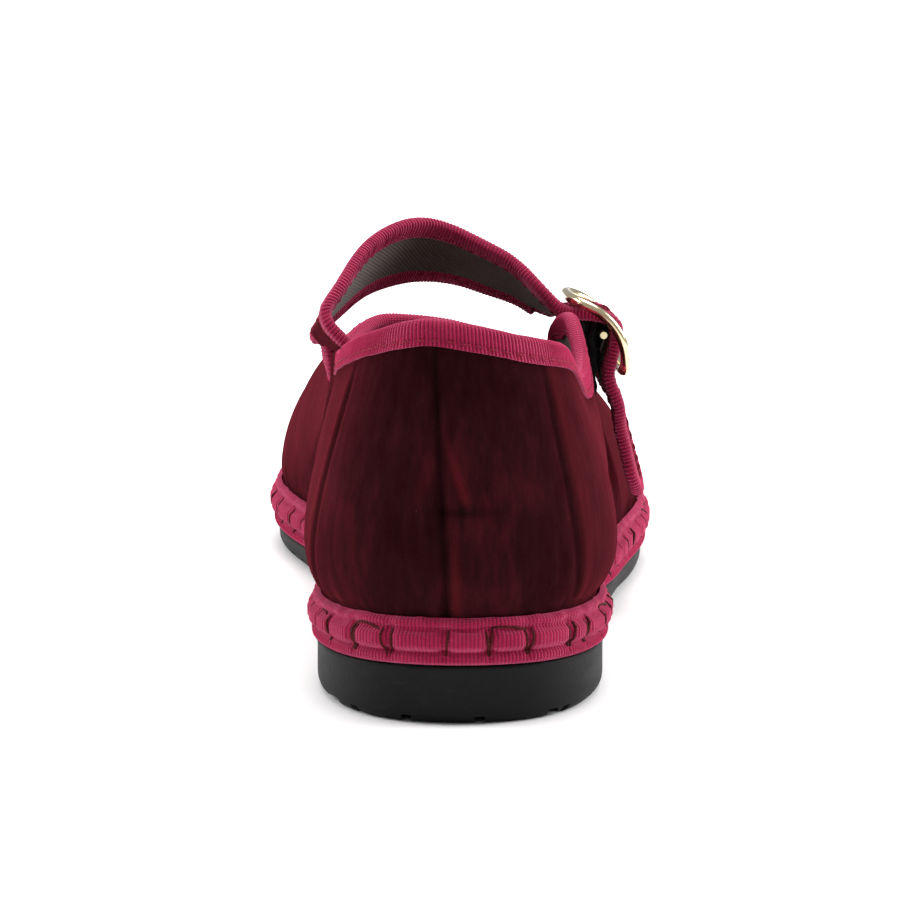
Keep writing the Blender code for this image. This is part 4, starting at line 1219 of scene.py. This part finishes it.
def make_strap():
    """Velvet strap lined with twill, its edges inside the tape."""
    hidden = STRAP_TAPE_WIDTH * STRAP_COVER
    end = STRAP.length - hidden
    fine = np.linspace(STRAP_START, end, 3000)
    spots = STRAP.centre(fine)
    runs = unit(np.gradient(spots, axis=0))
    bends = lengths_along(runs)
    measure = np.cumsum(np.linalg.norm(np.gradient(spots, axis=0), axis=1)) + bends * 0.008
    along = np.interp(np.linspace(measure[0], measure[-1], STRAP_COLUMNS), measure, fine)
    radius = STRAP_WIDTH / 2 - hidden
    near_end = np.clip((along - (end - radius)) / radius, 0, 1)
    width = (STRAP.half_width(along) - hidden) * np.sqrt(np.clip(1 - near_end**2, 0.004, 1))
    half = STRAP_THICKNESS / 2
    shares = np.linspace(-1, 1, STRAP_ROWS)
    grid = []
    for share in shares:
        soft = cloud(np.column_stack([along, along * 0 + share * 0.01, along * 0]), 130.0, 8)
        crown = STRAP_CROWN * (1 - share**2)
        grid.append(STRAP.points(along, width * share, half + crown + soft * STRAP_SOFTNESS))
    for share in shares[::-1]:
        grid.append(STRAP.points(along, width * share, np.full(len(along), -half)))
    grid = np.stack(grid + grid[:1], axis=1)
    slots = [0 if j < len(shares) else 1 for j in range(grid.shape[1])]
    rows = lengths_along(grid[40])
    grid_piece("velvet_strap", "burgundy_velvet", ("strap",), grid, along, rows, slots)


def strap_track(step):
    """Places along and across of the strap's tape, and the way out of the strap there."""
    inset = STRAP_TAPE_WIDTH / 2
    radius = STRAP_WIDTH / 2 - inset
    end = STRAP.length - radius - inset
    body = np.linspace(STRAP_TAPE_START, end, int(end / step))
    turn = np.linspace(0, math.pi, int(math.pi * radius / step))[1:-1]
    edge = STRAP.half_width(body) - inset
    still, one = np.zeros(len(body)), np.ones(len(body))
    along = np.concatenate([body, end + radius * np.sin(turn), body[::-1]])
    across = np.concatenate([-edge, -radius * np.cos(turn), edge[::-1]])
    ahead = np.concatenate([still, np.sin(turn), still])
    aside = np.concatenate([-one, -np.cos(turn), one])
    return along, across, ahead, aside


def make_strap_tape(look):
    """Ribbed tape folded over the strap's edges, with its two rows of stitches."""
    track = strap_track(look.tape_rib / 4)
    along, across, ahead, aside = track
    runs = lengths_along(STRAP.points(along, across, np.zeros(len(along))))
    rib = look.rib_height * np.cos(2 * math.pi * runs / look.tape_rib)
    inset = STRAP_TAPE_WIDTH / 2
    half = STRAP_TAPE_THICKNESS / 2
    wave = cloud_line(runs, 120.0, 9) * 0.06
    angles = np.linspace(0, 2 * math.pi, 21)
    grid = []
    for angle, out, lift in zip(angles, *rounded(angles, *TAPE_ROUNDING)):
        inside = max(0.0, -math.sin(angle)) ** 0.5
        wider = 1 + (wave + STRAP_TAPE_UNDERLAP * inside) * (out < 0)
        reach = out * inset * wider + rib * max(out, 0)
        lift = lift * half * 0.94 + np.sign(lift) * rib * abs(math.sin(angle))
        if out < 0:
            lift = lift * (1 - 0.16 * abs(out) ** 4)
        grid.append(STRAP.points(along + ahead * reach, across + aside * reach, lift))
    grid[-1] = grid[0]
    grid_piece("strap_tape", "raspberry_grosgrain", ("strap_binding",), np.stack(grid, axis=1),
               runs / look.tape_rib, angles / (2 * math.pi) * TAPE_GIRTH)

    def stitch_at(at, face):
        """Path of one stitch on a face of the tape, and its outward directions."""
        place, over, forward, sideways = (np.interp(at, runs, row) for row in track)
        reach = -inset * 0.62
        lift = face * (half * 0.90 + STITCH_ARCH - 0.00010)
        path = STRAP.points(place + forward * reach, over + sideways * reach, lift)
        return path, STRAP.frames(place)[2] * face

    seam_stitches("strap_tape_stitches", runs[-1], 0.00021, look, stitch_at)


def make_buckle():
    """Bowed oval frame with a flattened wire, and its bar."""
    middle, slide, out, reach = buckle_axes()
    middle = middle + FORM.shift
    long_half = (BUCKLE_REACH - BUCKLE_WIRE) / 2
    short_half = (BUCKLE_LENGTH - BUCKLE_WIRE) / 2
    across, down = rounded(np.linspace(0, 2 * math.pi, 221), *BUCKLE_ROUNDING)
    bow = BUCKLE_BOW * (1 - down**2)
    spots = middle + np.outer(across * long_half, reach) + np.outer(down * short_half, slide)
    spots = spots + np.outer(bow, out)
    lengths = lengths_along(spots)
    even = np.linspace(0, lengths[-1], 221)
    smooth = np.column_stack([np.interp(even, lengths, spots[:, axis]) for axis in range(3)])[:-1]
    for _ in range(3):
        smooth = (np.roll(smooth, 1, axis=0) + 2 * smooth + np.roll(smooth, -1, axis=0)) / 4
    runs = unit(np.roll(smooth, -1, axis=0) - np.roll(smooth, 1, axis=0))
    spots = np.vstack([smooth, smooth[:1]])
    runs = np.vstack([runs, runs[:1]])
    aside = unit(np.cross(runs, out))
    turn = np.linspace(0, 2 * math.pi, 25)
    wide, high = rounded(turn, *WIRE_ROUNDING)
    wide, high = wide * BUCKLE_WIRE / 2, high * BUCKLE_WIRE * WIRE_HEIGHT
    grid = tube_points(spots, aside, np.cross(aside, runs), wide, high)
    grid_piece("buckle_oval", "pale_brass", ("buckle_frame",), grid, even, turn * 0.001)
    bar_half = long_half - BUCKLE_WIRE * 0.2
    steps = np.linspace(-bar_half, bar_half, 12)
    bar = middle + out * BAR_DEPTH + np.outer(steps, reach)
    radius = BAR_DIAMETER / 2
    grid = tube_points(bar, slide, out, np.cos(turn) * radius, np.sin(turn) * radius)
    grid_piece("buckle_pin_bar", "pale_brass", ("buckle_bar",), grid, steps, turn * 0.001)


def make_elastic():
    """Elastic looped round the bar, a slack web beside the upper, and both frayed ends."""
    middle, slide, out, reach = buckle_axes()
    bar = middle + FORM.shift + out * BAR_DEPTH
    wrap = BAR_DIAMETER / 2 + GAP + ELASTIC_THICKNESS / 2
    turned = np.linspace(*ELASTIC_TURN, 9)
    spots = [bar + out * wrap * math.cos(angle) + slide * wrap * math.sin(angle) for angle in turned]
    start = spots[-1]
    hang = np.array([ELASTIC_LEAN, 0.0, -ELASTIC_DROP])
    spots += [start + hang * share for share in (0.25, 0.5, 0.75, 1.0)]
    knots = chord_knots(spots, False)
    along = np.linspace(0, knots[-1], 90)
    centre = spline(knots, spots)(along)
    face = unit(np.cross(unit(np.gradient(centre, axis=0)), reach))
    wide, thick = rounded(np.linspace(0, 2 * math.pi, 29), *ELASTIC_ROUNDING)
    wide, thick = wide * ELASTIC_WIDTH / 2, thick * ELASTIC_THICKNESS / 2
    ripple = ELASTIC_RIPPLE * np.sin(along * 2 * math.pi / ELASTIC_RIPPLE_PITCH)[:, None]
    grid = tube_points(centre, reach, face, wide, thick + ripple)
    grid_piece("elastic_loop", "black_elastic", ("elastic_tab",), grid, along, wide)
    share = np.linspace(0, 3, 60)
    web = spline(range(4), ELASTIC_WEB)(share)
    turn_out = spline(range(4), ELASTIC_WEB_TURN)(share)
    front = unit(np.cross(unit(np.gradient(web, axis=0)), turn_out))
    ripple = WEB_RIPPLE * np.sin(np.linspace(0, WEB_RIPPLE_SPAN, 60))[:, None]
    grid = tube_points(web, turn_out, front, wide * 0.9, thick + ripple)
    grid_piece("elastic_web", "black_elastic", (), grid, lengths_along(web), wide)
    chance = np.random.default_rng(5)
    paths = []
    for end, way, spread in ((centre[-1], reach, 0.95), (web[-1], turn_out[-1], 0.85)):
        for side in np.linspace(-0.5, 0.5, FRAY_COUNT) * ELASTIC_WIDTH * spread:
            length = chance.uniform(0.0012, 0.0045)
            drift = chance.uniform(-0.0012, 0.0012, 2)
            t = np.linspace(0, 1, 6)[:, None]
            root = end + way * side + np.array([0, 0, 0.0006])
            bend = np.array([drift[1] * 0.5 + 0.0004, drift[0], 0])
            path = root + t * np.array([0, drift[0], -length]) + t**2 * bend
            paths.append((path, np.tile((1.0, 0.0, 0.0), (6, 1))))
    thread_piece("elastic_fray", paths, 0.00010, 5, "black_elastic", "black_elastic")


def make_stage(look):
    """Plain pale floor, soft lights and the camera at the photo's angle."""
    bm = bmesh.new()
    bmesh.ops.create_grid(bm, x_segments=4, y_segments=4, size=6.0)
    floor = place_object("floor", bm, ("pale_floor",))
    world = bpy.data.worlds.new("studio")
    bpy.context.scene.world = world
    world.use_nodes = True
    sky = world.node_tree.nodes["Background"]
    sky.inputs[0].default_value = (1.0, 1.0, 1.0, 1.0)
    sky.inputs[1].default_value = look.sky
    for row, power in zip(LAMPS, (look.left, look.right, look.top)):
        light = bpy.data.lights.new(row.name + "_light", "AREA")
        light.shape = "DISK"
        light.size = row.size
        light.energy = power
        lamp = bpy.data.objects.new(light.name, light)
        lamp.location = row.place
        lamp.rotation_mode = "QUATERNION"
        lamp.rotation_quaternion = (Vector(row.aim) - Vector(row.place)).to_track_quat("-Z", "Y")
        bpy.context.scene.collection.objects.link(lamp)
    heel = Vector((0.0, 0.002, 0.0)) + Vector(FORM.shift)
    ahead = Vector((0, math.cos(VIEW_ANGLE), -math.sin(VIEW_ANGLE)))
    up = Vector((0, math.sin(VIEW_ANGLE), math.cos(VIEW_ANGLE)))
    lens = bpy.data.cameras.new("camera")
    lens.sensor_width = 36.0
    lens.lens = FOCAL_PIXELS / FRAME_PIXELS * lens.sensor_width
    lens.clip_start = 0.05
    camera = bpy.data.objects.new("camera", lens)
    rise = (HEEL_PIXEL - FRAME_PIXELS / 2) / FOCAL_PIXELS * HEEL_DISTANCE
    camera.location = heel - ahead * HEEL_DISTANCE + up * rise
    camera.rotation_euler = (math.pi / 2 - VIEW_ANGLE, 0.0, 0.0)
    bpy.context.scene.collection.objects.link(camera)
    bpy.context.scene.camera = camera
    bpy.context.scene.view_settings.view_transform = "Standard"


# Add-on

class ShoeLook(bpy.types.PropertyGroup):
    """Colours and fine sizes of the shoe."""

    velvet: bpy.props.FloatVectorProperty(
        name="Velvet", description="Colour of the pile", subtype="COLOR",
        default=(0.0165, 0.0042, 0.0052))
    sheen_tint: bpy.props.FloatVectorProperty(
        name="Velvet sheen", description="Colour of the pile's edge light", subtype="COLOR",
        default=(0.58, 0.060, 0.100))
    sheen: bpy.props.FloatProperty(
        name="Sheen", description="Strength of the pile's edge light", default=0.28, subtype="FACTOR")
    tape: bpy.props.FloatVectorProperty(
        name="Tape", description="Colour of the grosgrain tape", subtype="COLOR",
        default=(0.335, 0.0090, 0.054))
    lining: bpy.props.FloatVectorProperty(
        name="Lining", description="Colour of the twill", subtype="COLOR", default=(0.060, 0.036, 0.030))
    rubber: bpy.props.FloatVectorProperty(
        name="Rubber", description="Colour of the sole", subtype="COLOR",
        default=(0.0040, 0.0040, 0.0042))
    brass: bpy.props.FloatVectorProperty(
        name="Brass", description="Colour of the buckle", subtype="COLOR", default=(0.86, 0.72, 0.46))
    elastic: bpy.props.FloatVectorProperty(
        name="Elastic", description="Colour of the elastic", subtype="COLOR",
        default=(0.008, 0.008, 0.008))
    whip_thread: bpy.props.FloatVectorProperty(
        name="Whip thread", description="Colour of the band's stitches", subtype="COLOR",
        default=(0.070, 0.0038, 0.0048))
    seam_thread: bpy.props.FloatVectorProperty(
        name="Seam thread", description="Colour of the tape's stitches", subtype="COLOR",
        default=(0.24, 0.010, 0.035))
    band_rib: bpy.props.FloatProperty(
        name="Band rib", description="Distance between the band's ribs", default=0.0008, unit="LENGTH")
    tape_rib: bpy.props.FloatProperty(
        name="Tape rib", description="Distance between the tape's ribs", default=0.0008, unit="LENGTH")
    rib_height: bpy.props.FloatProperty(
        name="Rib height", description="Height of the tape's ribs", default=0.00010, unit="LENGTH")
    stitch_pitch: bpy.props.FloatProperty(
        name="Band stitch", description="Distance between the band's stitches", default=0.0097,
        unit="LENGTH")
    seam_pitch: bpy.props.FloatProperty(
        name="Seam stitch", description="Distance between the tape's stitches", default=0.0030,
        unit="LENGTH")


class StageLook(bpy.types.PropertyGroup):
    """Floor and light."""

    floor: bpy.props.FloatVectorProperty(
        name="Floor", description="Colour of the floor", subtype="COLOR", default=(0.96, 0.96, 0.96))
    sky: bpy.props.FloatProperty(name="Sky", description="Light from all round", default=0.38)
    left: bpy.props.FloatProperty(
        name="Left", description="Power of the left light", default=15.0, unit="POWER")
    right: bpy.props.FloatProperty(
        name="Right", description="Power of the right light", default=20.0, unit="POWER")
    top: bpy.props.FloatProperty(
        name="Top", description="Power of the top light", default=34.0, unit="POWER")


class SHOE_OT_outsole(bpy.types.Operator):
    """Make the rubber sole"""

    bl_idname = "shoe.outsole"
    bl_label = "Rubber sole"

    def execute(self, context):
        make_outsole()
        return {"FINISHED"}


class SHOE_OT_band(bpy.types.Operator):
    """Make the sewn band and its stitches"""

    bl_idname = "shoe.band"
    bl_label = "Sewn band"

    def execute(self, context):
        make_band(context.scene.shoe_look)
        make_whip_stitches(context.scene.shoe_look)
        return {"FINISHED"}


class SHOE_OT_insole(bpy.types.Operator):
    """Make the footbed"""

    bl_idname = "shoe.insole"
    bl_label = "Footbed"

    def execute(self, context):
        make_insole()
        return {"FINISHED"}


class SHOE_OT_upper(bpy.types.Operator):
    """Make the velvet upper"""

    bl_idname = "shoe.upper"
    bl_label = "Velvet upper"

    def execute(self, context):
        make_upper(context.scene.shoe_look)
        return {"FINISHED"}


class SHOE_OT_edge_tapes(bpy.types.Operator):
    """Make the collar and throat tapes"""

    bl_idname = "shoe.edge_tapes"
    bl_label = "Edge tapes"

    def execute(self, context):
        make_edge_tapes(context.scene.shoe_look)
        make_corner_tape(context.scene.shoe_look)
        return {"FINISHED"}


class SHOE_OT_strap(bpy.types.Operator):
    """Make the strap and its tape"""

    bl_idname = "shoe.strap"
    bl_label = "Strap"

    def execute(self, context):
        make_strap()
        make_strap_tape(context.scene.shoe_look)
        return {"FINISHED"}


class SHOE_OT_buckle(bpy.types.Operator):
    """Make the buckle and its elastic"""

    bl_idname = "shoe.buckle"
    bl_label = "Buckle"

    def execute(self, context):
        make_buckle()
        make_elastic()
        return {"FINISHED"}


class SHOE_OT_stage(bpy.types.Operator):
    """Make the floor, the lights and the camera"""

    bl_idname = "shoe.stage"
    bl_label = "Stage"

    def execute(self, context):
        make_stage(context.scene.stage_look)
        return {"FINISHED"}


class SHOE_PT_panel(bpy.types.Panel):
    """Shoe pieces"""

    bl_label = "Mary jane flat"
    bl_space_type = "VIEW_3D"
    bl_region_type = "UI"
    bl_category = "Shoe"

    def draw(self, context):
        for operator in OPERATORS:
            self.layout.operator(operator.bl_idname)
        for group in (context.scene.shoe_look, context.scene.stage_look):
            for name in group.__annotations__:
                self.layout.prop(group, name)


OPERATORS = (
    SHOE_OT_stage,
    SHOE_OT_outsole,
    SHOE_OT_insole,
    SHOE_OT_upper,
    SHOE_OT_band,
    SHOE_OT_edge_tapes,
    SHOE_OT_strap,
    SHOE_OT_buckle,
)
CLASSES = (ShoeLook, StageLook, *OPERATORS, SHOE_PT_panel)


def register():
    """Make the operators, the panel and the looks known."""
    for item in CLASSES:
        bpy.utils.register_class(item)
    bpy.types.Scene.shoe_look = bpy.props.PointerProperty(type=ShoeLook)
    bpy.types.Scene.stage_look = bpy.props.PointerProperty(type=StageLook)


def unregister():
    """Take them away again."""
    del bpy.types.Scene.stage_look
    del bpy.types.Scene.shoe_look
    for item in reversed(CLASSES):
        bpy.utils.unregister_class(item)


def main():
    """Make every piece."""
    register()
    bpy.ops.shoe.stage()
    bpy.ops.shoe.outsole()
    bpy.ops.shoe.insole()
    bpy.ops.shoe.upper()
    bpy.ops.shoe.band()
    bpy.ops.shoe.edge_tapes()
    bpy.ops.shoe.strap()
    bpy.ops.shoe.buckle()


if __name__ == "__main__":
    main()
